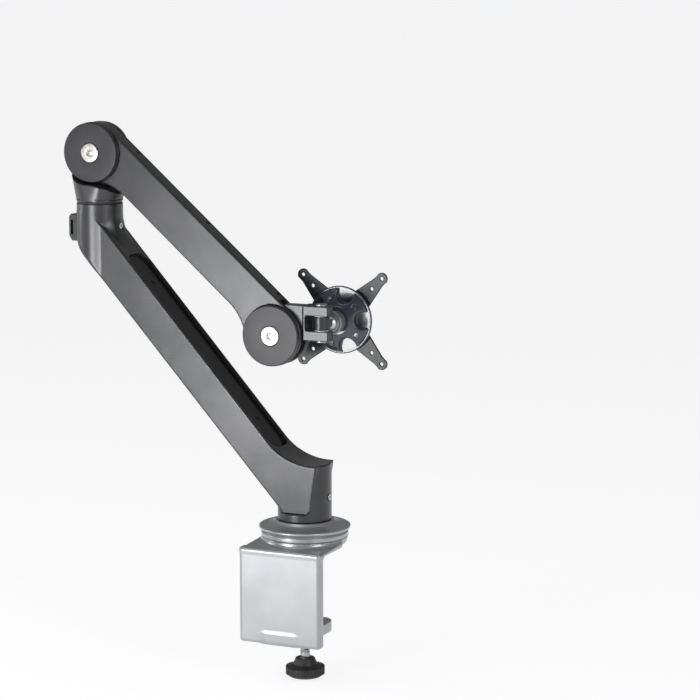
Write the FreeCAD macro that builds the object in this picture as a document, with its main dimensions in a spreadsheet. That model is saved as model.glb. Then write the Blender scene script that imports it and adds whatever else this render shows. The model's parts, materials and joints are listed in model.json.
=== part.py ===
import FreeCAD, Part
import math
import os
import Sketcher

# Desk-clamped monitor arm: a fixed-slant lower arm, a sprung parallelogram upper arm and
# a pan / tilt / rotate head. Millimetres. +Z is up and the desk top is Z = 0, below the
# base swivel axis. +X runs along the arms towards the head and +Y points at the display.

doc = FreeCAD.newDocument("monitor_arm")
sheet = doc.addObject("Spreadsheet::Sheet", "dims")
SIZES = [
    ("spine_wide", 102), ("spine_thick", 14), ("spine_back", 71), ("spine_top", 7), ("jaw_low", 104),
    ("jaw_wide", 60), ("jaw_thick", 14), ("jaw_reach", 20), ("boss_rad", 16), ("pad_thick", 2),
    ("pad_rad", 43), ("bowl_low_rad", 45), ("bowl_top_rad", 50), ("plate_top", 12),
    ("ring_rad", 50.8), ("ring_top", 18.5), ("flange_rad", 53.4), ("rim_level", 24.5),
    ("post_rad", 13), ("post_foot_rad", 15), ("post_top", 92), ("base_screw_circle", 36),
    ("screw_rad", 6), ("screw_low", 152), ("clamp_gap", 45), ("swivel_rad", 20), ("knob_rad", 23),
    ("socket_rad", 31.5), ("socket_low", 31.8), ("socket_top", 97.5), ("beam_half", 25),
    ("elbow_x", -267), ("top_socket_rad", 27.5), ("top_socket_low", 318), ("seam_level", 389.5),
    ("elbow_post_rad", 11), ("elbow_height", 449.1), ("axle_back", 2.7), ("arm_length", 310), ("arm_drop", 41),
    ("end_rad", 36), ("arm_top", 36), ("arm_under", 10.6), ("flare_rad", 60), ("arm_half", 11),
    ("cheek_inner", 7.5), ("axle_rad", 7), ("disc_rad", 35.4), ("disc_in", 11.3), ("disc_out", 17.5),
    ("cap_rad", 11.3), ("cap_out", 18.3), ("rod_offset", 16), ("pin_rad", 2.5), ("spring_y", -2.4),
    ("spring_n", 8), ("cylinder_rad", 4.6), ("piston_rod_rad", 2.2), ("pan_x", 22), ("fork_mid", 262.2),
    ("fork_tall", 41), ("fork_half", 10), ("slot_tall", 17.6), ("pan_pin_rad", 4), ("barrel_rad", 9.5),
    ("ball_y", 28), ("head_level", 259), ("ball_rad", 10), ("collar_rad", 14.5), ("stud_rad", 8),
    ("hub_rad", 40), ("plate_face", 60), ("plate_thick", 3), ("vesa_large", 100), ("vesa_small", 75),
    ("vesa_hole_rad", 2.25), ("leg_half", 7), ("saddle_gap", 1.2),
]


class Dim:
    """A driving size: its value and the sheet expression that it is bound to."""

    def __init__(self, value, text):
        self.value = float(value)
        self.text = text

    def _join(self, other, sign, value):
        words = other.text if isinstance(other, Dim) else repr(float(other))
        return Dim(value, "(" + self.text + " " + sign + " " + words + ")")

    def __add__(self, other):
        return self._join(other, "+", self.value + float(other))

    def __sub__(self, other):
        return self._join(other, "-", self.value - float(other))

    def __mul__(self, other):
        return self._join(other, "*", self.value * float(other))

    def __truediv__(self, other):
        return self._join(other, "/", self.value / float(other))

    def __neg__(self):
        return Dim(-self.value, "(-" + self.text + ")")

    def __float__(self):
        return self.value


class Dims:
    """The sheet's sizes by name."""


d = Dims()
for row, (alias, size) in enumerate(SIZES, start=1):
    sheet.set("A%d" % row, alias)
    sheet.set("B%d" % row, str(size))
    sheet.setAlias("B%d" % row, alias)
    setattr(d, alias, Dim(size, "dims." + alias))
doc.recompute()

V = FreeCAD.Vector
AXIS_X, AXIS_Y, AXIS_Z = V(1, 0, 0), V(0, 1, 0), V(0, 0, 1)
DROP = math.radians(float(d.arm_drop))
ELBOW = V(float(d.elbow_x) - float(d.axle_back), 0, float(d.elbow_height))
ALONG = V(math.cos(DROP), 0, -math.sin(DROP))
WRIST = ELBOW + ALONG * float(d.arm_length)
pieces = {}


def at(x=0.0, y=0.0, z=0.0, turn=0.0, axis=AXIS_Y):
    """A placement at a point, turned by degrees about an axis."""
    return FreeCAD.Placement(V(float(x), float(y), float(z)), FreeCAD.Rotation(axis, float(turn)))


ON_ARM = FreeCAD.Placement(ELBOW, FreeCAD.Rotation(AXIS_Y, float(d.arm_drop)))


def keep(name, item, place=None):
    """Name a finished sub-part and put it in its place."""
    item.Label = name
    if place is not None:
        item.Placement = place
    pieces[name] = item
    return item


# ---------------------------------------------------------------- sketch helpers
def sketch_on(body, role, name):
    """A new sketch on one of the body's own origin planes."""
    sketch = body.newObject("Sketcher::SketchObject", name)
    plane = [item for item in body.Origin.OriginFeatures if item.Role == role][0]
    sketch.AttachmentSupport = [(plane, "")]
    sketch.MapMode = "FlatFace"
    return sketch


def pin_down(sketch, geo, pos, point):
    """Fix a sketch point at (x, y), each bound to the sheet where it is a driving size."""
    for kind, axis, size in (("DistanceX", -2, point[0]), ("DistanceY", -1, point[1])):
        if abs(float(size)) < 1e-9:
            sketch.addConstraint(Sketcher.Constraint("PointOnObject", geo, pos, axis))
            continue
        index = sketch.addConstraint(Sketcher.Constraint(kind, -1, 1, geo, pos, float(size)))
        if isinstance(size, Dim):
            sketch.setExpression("Constraints[%d]" % index, size.text)


def draw_polygon(sketch, points):
    """A closed outline of straight lines with every corner fixed."""
    first = sketch.GeometryCount
    ends = [V(float(px), float(py), 0) for px, py in points]
    for i, start in enumerate(ends):
        sketch.addGeometry(Part.LineSegment(start, ends[(i + 1) % len(ends)]), False)
    for i in range(len(ends)):
        after = first + (i + 1) % len(ends)
        sketch.addConstraint(Sketcher.Constraint("Coincident", first + i, 2, after, 1))
    for i, point in enumerate(points):
        pin_down(sketch, first + i, 1, point)


def draw_circle(sketch, centre, radius):
    """A circle with its centre and radius fixed."""
    middle = V(float(centre[0]), float(centre[1]), 0)
    geo = sketch.addGeometry(Part.Circle(middle, AXIS_Z, float(radius)), False)
    if abs(middle.x) < 1e-9 and abs(middle.y) < 1e-9:
        sketch.addConstraint(Sketcher.Constraint("Coincident", geo, 3, -1, 1))
    else:
        pin_down(sketch, geo, 3, centre)
    index = sketch.addConstraint(Sketcher.Constraint("Radius", geo, float(radius)))
    if isinstance(radius, Dim):
        sketch.setExpression("Constraints[%d]" % index, radius.text)


def turned(name, outline, along="Z", place=None):
    """A turned piece: outline points are (radius, distance along the axis)."""
    body = doc.addObject("PartDesign::Body", name)
    role = {"Z": "XZ_Plane", "Y": "XY_Plane", "X": "XZ_Plane"}[along]
    sketch = sketch_on(body, role, name + "_profile")
    if along == "X":
        draw_polygon(sketch, [(run, rad) for rad, run in outline])
    else:
        draw_polygon(sketch, outline)
    spin = body.newObject("PartDesign::Revolution", name + "_turn")
    spin.Profile = sketch
    spin.ReferenceAxis = (sketch, ["H_Axis" if along == "X" else "V_Axis"])
    spin.Angle = 360.0
    doc.recompute()
    return keep(name, body, place)


def featured(name, shape, place=None):
    """A piece whose shape is made with Part's own functions."""
    item = doc.addObject("Part::Feature", name)
    item.Shape = shape
    return keep(name, item, place)


# ---------------------------------------------------------------- shape helpers
def rod(radius, length, start, axis=AXIS_Z):
    return Part.makeCylinder(float(radius), float(length), V(*[float(c) for c in start]), axis)


def block(x0, x1, y0, y1, z0, z1):
    """A box between six planes."""
    size = [float(x1) - float(x0), float(y1) - float(y0), float(z1) - float(z0)]
    return Part.makeBox(size[0], size[1], size[2], V(float(x0), float(y0), float(z0)))


def prism_y(points, y0, y1):
    """An outline of (x, z) corners in the XZ plane, extruded along Y."""
    wire = Part.makePolygon([V(float(px), float(y0), float(pz)) for px, pz in points + points[:1]])
    return Part.Face(wire).extrude(V(0, float(y1) - float(y0), 0))


def wire_y(parts, y0):
    """A closed wire in the XZ plane from lines (2 points) and arcs (3 points)."""
    edges = []
    for part in parts:
        ends = [V(float(px), float(y0), float(pz)) for px, pz in part]
        if len(ends) == 3:
            edges.append(Part.Arc(*ends).toShape())
        else:
            edges.append(Part.makeLine(ends[0], ends[1]))
    return Part.Wire(Part.__sortEdges__(edges))


def fillet_faces(shape, radius, wanted):
    """Round every edge that lies wholly on a flat the test picks out."""
    edges = [edge for edge in shape.Edges if wanted(edge)]
    return shape.makeFillet(float(radius), edges)


def upright(edge):
    """True for a straight edge along Z."""
    box = edge.BoundBox
    return box.XLength < 1e-6 and box.YLength < 1e-6 and box.ZLength > 1e-6


def spun(outline, point=V(0, 0, 0), axis=AXIS_Z):
    """A ring or cone from (radius, distance) corners, as a plain shape about an axis."""
    wire = Part.makePolygon([V(float(rad), 0, float(run)) for rad, run in outline + outline[:1]])
    shape = Part.Face(wire).revolve(V(0, 0, 0), AXIS_Z, 360)
    shape.Placement = FreeCAD.Placement(point, FreeCAD.Rotation(AXIS_Z, axis))
    return shape


# ---------------------------------------------------------------- desk clamp and base
half_wide = float(d.spine_wide) / 2
back = float(d.spine_back)
inner = back - float(d.spine_thick)
spine = block(-half_wide, half_wide, -back, -inner, -float(d.jaw_low), d.spine_top)
spine = spine.makeFillet(5.0, [edge for edge in spine.Edges if upright(edge) and edge.BoundBox.YMin < -back + 1])
deck = block(-half_wide, half_wide, -back + 5, -6, d.pad_thick, d.spine_top)
deck = deck.cut(prism_y([(half_wide - 9, 0), (half_wide + 9, 0), (half_wide + 9, 20)], -6, -6.001))
bowl = spun([(0, d.pad_thick), (d.bowl_low_rad, d.pad_thick), (48.6, 5.0), (d.bowl_top_rad, 8.5),
             (d.bowl_top_rad, d.plate_top), (0, d.plate_top)])
jaw_half = float(d.jaw_wide) / 2
jaw_top = -float(d.jaw_low) + float(d.jaw_thick)
jaw = block(-jaw_half, jaw_half, -back + 1, d.jaw_reach, -float(d.jaw_low), jaw_top)
jaw = jaw.makeFillet(14.0, [edge for edge in jaw.Edges if upright(edge) and edge.BoundBox.YMin > 0])
boss = rod(d.boss_rad, 22, (0, 0, -float(d.jaw_low) - 2))
web = prism_y([(0, 0), (30, 0), (0, 22)], -5, 5)
web.rotate(V(0, 0, 0), AXIS_Z, 90)
web.translate(V(0, -inner - 0.5, jaw_top - 0.5))
bracket = spine.fuse([deck, bowl, jaw, boss, web])
bracket = bracket.cut(rod(float(d.screw_rad) + 0.08, 60, (0, 0, -float(d.jaw_low) - 20)))
bracket = bracket.cut(rod(4.1, 40, (0, 0, -2)))
bracket = bracket.cut(Part.makeCone(9.2, 4.1, 5.1, V(0, 0, float(d.pad_thick)), AXIS_Z))
for k in range(3):
    turn = math.radians(90 + 120 * k)
    spot = (float(d.base_screw_circle) * math.cos(turn), float(d.base_screw_circle) * math.sin(turn))
    bracket = bracket.cut(rod(2.55, 30, (spot[0], spot[1], -1)))
    bracket = bracket.cut(rod(5.0, 3.2, (spot[0], spot[1], float(d.pad_thick))))
featured("clamp_bracket", bracket.removeSplitter())

pad_sheet = block(-43, 43, -inner + 1, 0, 0, d.pad_thick)
pad_sheet = pad_sheet.fuse(rod(d.pad_rad, d.pad_thick, (0, 0, 0)))
featured("desk_pad", pad_sheet.removeSplitter())

ring = spun([(15.1, d.plate_top), (49.6, d.plate_top), (d.ring_rad, 13.2), (d.ring_rad, 17.0),
             (49.0, d.ring_top), (15.1, d.ring_top)])
flange = spun([(15.1, d.ring_top), (49.0, d.ring_top), (51.6, 20.2), (d.flange_rad, 21.8),
               (d.flange_rad, 23.6), (51.4, d.rim_level), (46.5, 25.3), (41.5, 26.6), (37.5, 28.6),
               (34.6, 31.2), (15.1, 31.2)])
for k in range(3):
    turn = math.radians(90 + 120 * k)
    spot = (float(d.base_screw_circle) * math.cos(turn), float(d.base_screw_circle) * math.sin(turn))
    ring = ring.cut(rod(2.55, 30, (spot[0], spot[1], 10)))
    flange = flange.cut(rod(2.55, 6.0, (spot[0], spot[1], 18)))
featured("base_ring", ring)
featured("base_flange", flange)

turned("base_post", [(4.05, d.plate_top), (d.post_foot_rad, d.plate_top), (d.post_foot_rad, 31.2),
                     (d.post_rad, 31.2), (d.post_rad, d.post_top - 1.5), (d.post_rad - 1.5, d.post_top),
                     (0, d.post_top), (0, 36), (4.05, 34)])
turned("post_bolt", [(0, 2.3), (8.8, 2.3), (4.0, 7.1), (4.0, 32.5), (3.2, 33.5), (0, 33.5)])
screws = []
for k in range(3):
    turn = math.radians(90 + 120 * k)
    screw = rod(2.5, 18.5, (0, 0, 5.0)).fuse(rod(4.5, 2.9, (0, 0, 2.2)))
    screw.translate(V(float(d.base_screw_circle) * math.cos(turn), float(d.base_screw_circle) * math.sin(turn), 0))
    screws.append(screw.removeSplitter())
featured("base_screws", Part.makeCompound(screws))

pad_top = -float(d.clamp_gap)
turned("clamp_pad_rubber", [(0, pad_top - 2), (d.swivel_rad - 1, pad_top - 2), (d.swivel_rad - 1, pad_top - 0.6),
                            (d.swivel_rad - 1.6, pad_top), (0, pad_top)])
turned("clamp_pad_disc", [(0, pad_top - 2), (0, pad_top - 4.3), (5.4, pad_top - 4.3), (5.4, pad_top - 8.5),
                          (9, pad_top - 8.5), (9, pad_top - 5.5), (d.swivel_rad, pad_top - 4.5),
                          (d.swivel_rad, pad_top - 2)])
turned("clamp_screw", [(0, pad_top - 4.6), (4.2, pad_top - 4.6), (5.1, pad_top - 5.6), (5.1, pad_top - 8.9),
                       (d.screw_rad, pad_top - 9.6), (d.screw_rad, -d.screw_low), (0, -d.screw_low)])
knob_low = -float(d.screw_low) - 6
knob = spun([(6.05, knob_low + 5.9), (6.05, knob_low + 22), (11, knob_low + 22), (14, knob_low + 14),
             (d.knob_rad, knob_low + 12), (d.knob_rad, knob_low + 3), (19, knob_low), (0, knob_low),
             (0, knob_low + 5.9)])
for k in range(6):
    turn = math.radians(60 * k)
    knob = knob.cut(rod(6.5, 30, (27 * math.cos(turn), 27 * math.sin(turn), knob_low - 2)))
featured("clamp_knob", knob)

# ---------------------------------------------------------------- lower arm
ex = float(d.elbow_x)
seam = float(d.seam_level)
half = float(d.beam_half)
side = [
    [(-31.5, 57.0), (-283.0, 335.3)],
    [(-283.0, 335.3), (-289.5, 343.5), (ex - 27.0, 354.0)],
    [(ex - 27.0, 354.0), (ex - 27.0, 372.0)],
    [(ex - 27.0, 372.0), (ex + 27.0, 372.0)],
    [(ex + 27.0, 372.0), (-233.5, 345.5), (-218.0, 327.5)],
    [(-218.0, 327.5), (-40.0, 128.0)],
    [(-40.0, 128.0), (-12.6, 105.1), (14.0, 97.4)],
    [(14.0, 97.4), (26.0, 97.4)],
    [(26.0, 97.4), (17.5, 41.0)],
    [(17.5, 41.0), (-17.0, 41.0)],
    [(-17.0, 41.0), (-31.5, 57.0)],
]
beam = Part.Face(wire_y(side, -half)).extrude(V(0, 2 * half, 0))
rounded_end = block(ex, 80, -half, half, 0, 400).fuse(rod(d.top_socket_rad - 0.3, 400, (ex, 0, 0)))
beam = beam.common(rounded_end)
low_socket = rod(d.socket_rad, float(d.socket_top) - float(d.socket_low), (0, 0, d.socket_low))
low_socket = low_socket.makeFillet(1.2, [edge for edge in low_socket.Edges if edge.BoundBox.ZLength < 1e-6])
top_socket = rod(d.top_socket_rad, seam - float(d.top_socket_low), (ex, 0, d.top_socket_low))
under = prism_y([(ex - 60, 371.9), (ex - 60, 250), (-205, 250)], -60, 60)
top_socket = top_socket.cut(under)
casting = beam.fuse([low_socket, top_socket])
for sign in (-1, 1):
    panel = prism_y([(-50, 200), (-50, 41), (14, 41), (19, 46), (19, 200)], sign * half, sign * (half + 12))
    casting = casting.cut(panel)


def channel(depth, wide, shorter, up=22.0):
    """A trough sunk square to the slanted top of the beam."""
    lean = math.atan2(186.0, 166.0)
    nx, nz = -math.sin(lean) * depth, -math.cos(lean) * depth
    ax, az = -221.3 + shorter * math.cos(lean), 331.2 - shorter * math.sin(lean)
    bx, bz = -28.2 - shorter * math.cos(lean), 114.9 + shorter * math.sin(lean)
    ux, uz = math.sin(lean) * up, math.cos(lean) * up
    return prism_y([(ax + ux, az + uz), (ax + nx, az + nz), (bx + nx, bz + nz), (bx + ux, bz + uz)], -wide, wide)


casting = casting.cut(channel(6.0, half - 3.0, 0.0))
casting = casting.cut(channel(30.0, half - 6.0, 7.0))
casting = casting.cut(rod(16.0, 62.2, (0, 0, float(d.socket_low) - 1)))
casting = casting.cut(rod(18.0, 3.0, (0, 0, float(d.socket_low) - 1)))
casting = casting.cut(rod(2.6, 20, (14, 0, 59), AXIS_X))
casting = casting.cut(rod(4.0, 6, (29.5, 0, 59), AXIS_X))
casting = casting.cut(rod(2.6, 20, (ex + 10.2, 0, 362.7), AXIS_X))
casting = casting.cut(rod(4.0, 6, (ex + 25.7, 0, 362.7), AXIS_X))
casting = casting.cut(rod(14.0, 60, (ex, 0, 332)))
casting = casting.cut(rod(15.5, 12.2, (ex, 0, 320)))
featured("lower_arm_casting", casting.removeSplitter())

cover = channel(5.9, half - 3.2, 0.4).cut(channel(3.6, half, -5, 60.0))
featured("channel_cover", cover)
lean = math.atan2(186.0, 166.0)
normal = V(math.sin(lean), 0, math.cos(lean))
small = []
for run in (15.5, 220.0):
    spot = V(-204.0 + run * math.cos(lean), 0, 311.8 - run * math.sin(lean))
    head = Part.makeCylinder(2.6, 1.2, spot - normal * 3.5, normal)
    small.append(head)
featured("cover_screws", Part.makeCompound(small))

BUSH = [(13.05, 0), (17.6, 0), (17.6, 1.8), (15.95, 1.8), (15.95, 16), (13.05, 16)]
turned("base_bush_lower", BUSH, place=at(0, 0, d.socket_low - 0.2))
turned("base_bush_upper", [(13.05, 0), (15.95, 0), (15.95, 16), (13.05, 16)], place=at(0, 0, 76))
SET_SCREW = [(0, 18.1), (2.5, 18.1), (2.5, 29.7), (3.8, 29.7), (3.8, 32.2), (1.6, 32.2), (1.6, 30.6), (0, 30.6)]
set_screws = [spun(SET_SCREW, V(0, 0, 59), AXIS_X), spun(SET_SCREW, V(ex - 3.8, 0, 362.7), AXIS_X)]
featured("friction_screws", Part.makeCompound(set_screws))
turned("elbow_bush", [(11.05, 0), (13.95, 0), (13.95, 57.0), (11.05, 57.0)], place=at(ex, 0, 332.2))
catch = prism_y([(-305.0, 372.5), (-303.0, 375.0), (-290.5, 375.0), (-290.5, 343.0), (-301.0, 343.0),
                 (-305.0, 349.0)], -8.5, 8.5)
catch = catch.cut(block(-302.2, -299.2, -20, 20, 351, 368))
catch = catch.cut(rod(float(d.top_socket_rad) + 0.05, 60, (ex, 0, 330)))
featured("cable_catch", catch)

# ---------------------------------------------------------------- elbow knuckle
def arm_outline(grow):
    """The upper arm's side outline (u along the arm, n square to it) as a wire."""
    rad = float(d.end_rad) + grow
    top = float(d.arm_top) + grow
    low = -float(d.arm_under) - grow
    flare = float(d.flare_rad) - grow
    full = float(d.arm_length)
    drop = flare - low
    reach = math.sqrt((rad + flare) ** 2 - drop ** 2)
    part = rad / (rad + flare)
    tx, tz = reach * part, -drop * part
    mid = math.atan2(drop + tz, tx - reach)
    half_turn = (mid + math.pi / 2) / 2
    mx = reach + flare * math.cos(half_turn)
    mz = -drop + flare * math.sin(half_turn)
    return [
        [(0, top), (full, top)],
        [(full, top), (full + rad, 0), (full - tx, tz)],
        [(full - tx, tz), (full - mx, mz), (full - reach, low)],
        [(full - reach, low), (reach, low)],
        [(reach, low), (mx, mz), (tx, tz)],
        [(tx, tz), (-rad * math.cos(0.2), -rad * math.sin(0.2)), (0, top)],
    ]


def swept_arm(grow, extra_drop, wide):
    """The arm's outline as a solid about the elbow, turned down past its rest pose."""
    solid = Part.Face(wire_y(arm_outline(grow), -wide)).extrude(V(0, 2 * wide, 0))
    solid.Placement = FreeCAD.Placement(ELBOW, FreeCAD.Rotation(AXIS_Y, float(d.arm_drop) + extra_drop))
    return solid


ez = float(d.elbow_height)
ax = ELBOW.x
cup = Part.makeCone(float(d.top_socket_rad), 34.5, 42, V(ex, 0, seam + 1.6), AXIS_Z)
cup = cup.common(block(ex - 36.5, ex + 31, -27.4, 27.4, seam, seam + 60))
cup = cup.cut(swept_arm(float(d.saddle_gap), 2.6, 60))
cup = cup.cut(swept_arm(float(d.saddle_gap), 0.0, 60))
tab_back, tab_front = -7.2, 3.9
tab = block(ax - 15, ax + 15, tab_back, tab_front, seam + 4, ez)
tab = tab.fuse(rod(20, tab_front - tab_back, (ax, tab_back, ez), AXIS_Y))
knuckle = cup.fuse(tab)
knuckle = knuckle.cut(rod(float(d.axle_rad) + 0.02, 40, (ax, -20, ez), AXIS_Y))
knuckle = knuckle.cut(rod(float(d.elbow_post_rad) + 0.02, 13, (ex, 0, seam)))
knuckle = knuckle.cut(rod(float(d.pin_rad) + 0.02, 8, (ax, 0, ez + float(d.rod_offset)), AXIS_Y))
featured("elbow_knuckle", knuckle.removeSplitter())
turned("elbow_post", [(0, -57.5), (4.0, -57.5), (4.0, -60), (9, -60), (9, -57.5), (d.elbow_post_rad, -55.5),
                      (d.elbow_post_rad, 12.4), (0, 12.4)], place=at(ex, 0, seam))
turned("elbow_washer", [(11.3, 0.15), (26.6, 0.15), (26.6, 1.45), (11.3, 1.45)], place=at(ex, 0, seam))
turned("post_clip", [(9.05, -59.6), (13.2, -59.6), (13.2, -58.0), (9.05, -58.0)], place=at(ex, 0, seam))


def axle(name, centre):
    """A pivot axle through both cheeks, with a shoulder groove at each end."""
    step, end = d.arm_half - 1.5, d.arm_half + 0.8
    turned(name, [(0, -end), (5.2, -end), (5.2, -step), (d.axle_rad, -step), (d.axle_rad, step), (5.2, step),
                  (5.2, end), (0, end)], along="Y", place=at(centre.x, 0, centre.z))


def caps(stem, centre):
    """The dished aluminium caps on both ends of an axle."""
    for side_name, sign in (("near", -1.0), ("far", 1.0)):
        turned(stem + "_" + side_name,
               [(0, sign * 12.2), (5.2, sign * 12.2), (5.2, sign * 13.4), (d.cap_rad, sign * 13.4),
                (d.cap_rad, sign * 17.5), (d.cap_rad - 0.8, d.cap_out * sign), (4.2, d.cap_out * sign),
                (2.6, sign * 17.5), (0, sign * 17.3)], along="Y", place=at(centre.x, 0, centre.z))


axle("elbow_axle", ELBOW)
caps("elbow_cap", ELBOW)
turned("rod_pin_elbow", [(0, 0.2), (d.pin_rad, 0.2), (d.pin_rad, 7.1), (0, 7.1)], along="Y",
       place=at(ax, 0, d.elbow_height + d.rod_offset))

# ---------------------------------------------------------------- upper arm
thick = float(d.arm_half)
gap = float(d.cheek_inner)
full = float(d.arm_length)
shell = Part.Face(wire_y(arm_outline(0.0), -thick)).extrude(V(0, 2 * thick, 0))
shell = fillet_faces(shell, 1.8, lambda edge: edge.BoundBox.YLength < 1e-6)
shell = shell.cut(block(-50, full + 50, -gap, gap, -float(d.arm_under) + 4, 50))
shell = shell.cut(block(-50, 62, -gap, gap, -50, 20))
shell = shell.cut(block(full - 62, full + 50, -gap, gap, -50, 20))
rib = block(252, 257, -gap - 0.5, 3.4, -float(d.arm_under) + 3.5, 20)
shell = shell.fuse(rib)
for run in (0.0, full):
    shell = shell.cut(rod(float(d.axle_rad) + 0.05, 60, (run, -30, 0), AXIS_Y))
shell = shell.cut(rod(3.1, 20, (245, d.spring_y, d.spring_n), AXIS_X))
for run in (40.0, 160.0, 280.0):
    shell = shell.fuse(block(run - 4, run + 4, gap - 2.0, gap + 0.5, 24, 32.3))
featured("arm_housing", shell.removeSplitter(), ON_ARM)

lid = block(0, full - 21, -gap + 0.2, gap - 0.2, 32.5, 35.8)
arc = spun([(32.5, -gap + 0.2), (35.8, -gap + 0.2), (35.8, gap - 0.2), (32.5, gap - 0.2)], axis=AXIS_Y)
arc = arc.common(prism_y([(0, 0), (0, 50), (-50, 50), (-50, -13.0)], -30, 30))
lid = lid.fuse(arc)
for run in (40.0, 160.0, 280.0):
    lid = lid.cut(rod(1.6, 20, (run, gap - 3.4, 25)))
    lid = lid.cut(rod(2.9, 3, (run, gap - 3.4, 34.2)))
featured("top_cover", lid.removeSplitter(), ON_ARM)
small = []
for run in (40.0, 160.0, 280.0):
    small.append(rod(1.55, 1.9, (run, gap - 3.4, 32.4)).fuse(rod(2.8, 1.4, (run, gap - 3.4, 34.25))))
featured("top_cover_screws", Part.makeCompound(small), ON_ARM)

for stem, run in (("elbow_disc", 0.0), ("wrist_disc", full)):
    for side_name, sign in (("near", -1.0), ("far", 1.0)):
        spot = ELBOW + ALONG * run
        turned(stem + "_" + side_name,
               [(d.cap_rad + 0.3, d.disc_in * sign), (31.5, d.disc_in * sign), (31.5, sign * 12.6),
                (d.disc_rad, sign * 12.6), (d.disc_rad, sign * 16.2), (d.disc_rad - 1.3, d.disc_out * sign),
                (d.cap_rad + 0.3, d.disc_out * sign)], along="Y", place=at(spot.x, 0, spot.z))


def on_arm(run, y, n):
    """A placement in the upper arm's own frame."""
    return FreeCAD.Placement(ON_ARM.multVec(V(float(run), float(y), float(n))), ON_ARM.Rotation)


turned("gas_cylinder", [(0, 235.6), (d.cylinder_rad, 235.6), (d.cylinder_rad, 131.5), (d.cylinder_rad - 1, 130),
                        (2.35, 130), (2.35, 134), (3.6, 134), (3.6, 231), (0, 231)], along="X",
       place=on_arm(0, d.spring_y, d.spring_n))
turned("gas_rod", [(0, 92.2), (d.piston_rod_rad, 92.2), (d.piston_rod_rad, 160), (3.5, 160), (3.5, 166), (0, 166)],
       along="X", place=on_arm(0, d.spring_y, d.spring_n))
carriage = block(72, 92, -7.0, 3.2, 0, 16)
carriage = carriage.makeFillet(2.0, [edge for edge in carriage.Edges if edge.BoundBox.YLength > 9])
carriage = carriage.cut(rod(2.6, 40, (78, -20, 8), AXIS_Y))
featured("spring_carriage", carriage, ON_ARM)
anchor = block(236, 250, -7.0, 3.2, 0, 16).cut(rod(3.05, 30, (230, d.spring_y, d.spring_n), AXIS_X))
featured("anchor_block", anchor, ON_ARM)
turned("tension_screw", [(0, 238), (3.0, 238), (3.0, 257.4), (4.6, 257.4), (4.6, 263), (2.2, 263), (2.2, 260),
                         (0, 260)], along="X", place=on_arm(0, d.spring_y, d.spring_n))

link = block(0, full, 4.2, 6.9, -3.5, 3.5)
for run in (0.0, full):
    link = link.fuse(rod(6.0, 2.7, (run, 4.2, 0), AXIS_Y))
for run in (0.0, full):
    link = link.cut(rod(float(d.pin_rad) + 0.05, 20, (run, 0, 0), AXIS_Y))
featured("levelling_rod", link.removeSplitter(),
         FreeCAD.Placement(ELBOW + V(0, 0, float(d.rod_offset)), ON_ARM.Rotation))

# ---------------------------------------------------------------- wrist bracket
wx, wz = WRIST.x, WRIST.z
fork_mid = float(d.fork_mid)
tall = float(d.fork_tall) / 2
px = float(d.pan_x)
head = block(wx + 38.2, px + 12.2, -float(d.fork_half), float(d.fork_half), fork_mid - tall, fork_mid + tall)
head = head.makeFillet(5.0, [edge for edge in head.Edges if upright(edge) and edge.BoundBox.YMin > 0])
head = head.makeFillet(1.5, [edge for edge in head.Edges if edge.BoundBox.XLength > 20])
neck = block(wx + 13, wx + 39, tab_back, 7.0, fork_mid - tall + 0.6, fork_mid + tall - 0.4)
hub = rod(20, tab_front - tab_back, (wx, tab_back, wz), AXIS_Y)
hub_bridge = block(wx, wx + 14, tab_back, tab_front, wz - 8, fork_mid + 12)
wrist = head.fuse([neck, hub, hub_bridge])
rod_room = prism_y([(-18, -12), (18, -12), (18, 12), (-18, 12)], 4.0, 30)
rod_room.translate(V(wx, 0, wz + float(d.rod_offset)))
wrist = wrist.cut(rod_room)
slot_half = float(d.slot_tall) / 2
slot = block(px - 16.8, px + 40, -40, 40, fork_mid - slot_half, fork_mid + slot_half)
slot = slot.makeFillet(2.5, [edge for edge in slot.Edges if edge.BoundBox.YLength > 70 and edge.BoundBox.XMax < px])
wrist = wrist.cut(slot)
wrist = wrist.cut(rod(float(d.axle_rad) + 0.02, 40, (wx, -20, wz), AXIS_Y))
wrist = wrist.cut(rod(float(d.pin_rad) + 0.02, 8, (wx, 0, wz + float(d.rod_offset)), AXIS_Y))
wrist = wrist.cut(rod(float(d.pan_pin_rad) + 0.02, 80, (px, 0, fork_mid - 40)))
featured("wrist_bracket", wrist.removeSplitter())
axle("wrist_axle", WRIST)
caps("wrist_cap", WRIST)
turned("rod_pin_wrist", [(0, 0.2), (d.pin_rad, 0.2), (d.pin_rad, 7.1), (0, 7.1)], along="Y",
       place=at(wx, 0, WRIST.z + float(d.rod_offset)))
turned("pan_pin", [(0, -22.2), (6.3, -22.2), (7, -21.6), (7, -20.6), (d.pan_pin_rad, -20.6), (d.pan_pin_rad, 20.6),
                   (7, 20.6), (7, 21.6), (6.3, 22.2), (0, 22.2)], place=at(px, 0, d.fork_mid))
washer_low = spun([(4.1, 0), (8.6, 0), (8.6, 0.8), (4.1, 0.8)], V(px, 0, fork_mid - slot_half + 0.03))
washer_top = spun([(4.1, 0), (8.6, 0), (8.6, 0.8), (4.1, 0.8)], V(px, 0, fork_mid + slot_half - 0.83))
featured("pan_washers", Part.makeCompound([washer_low, washer_top]))

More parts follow.
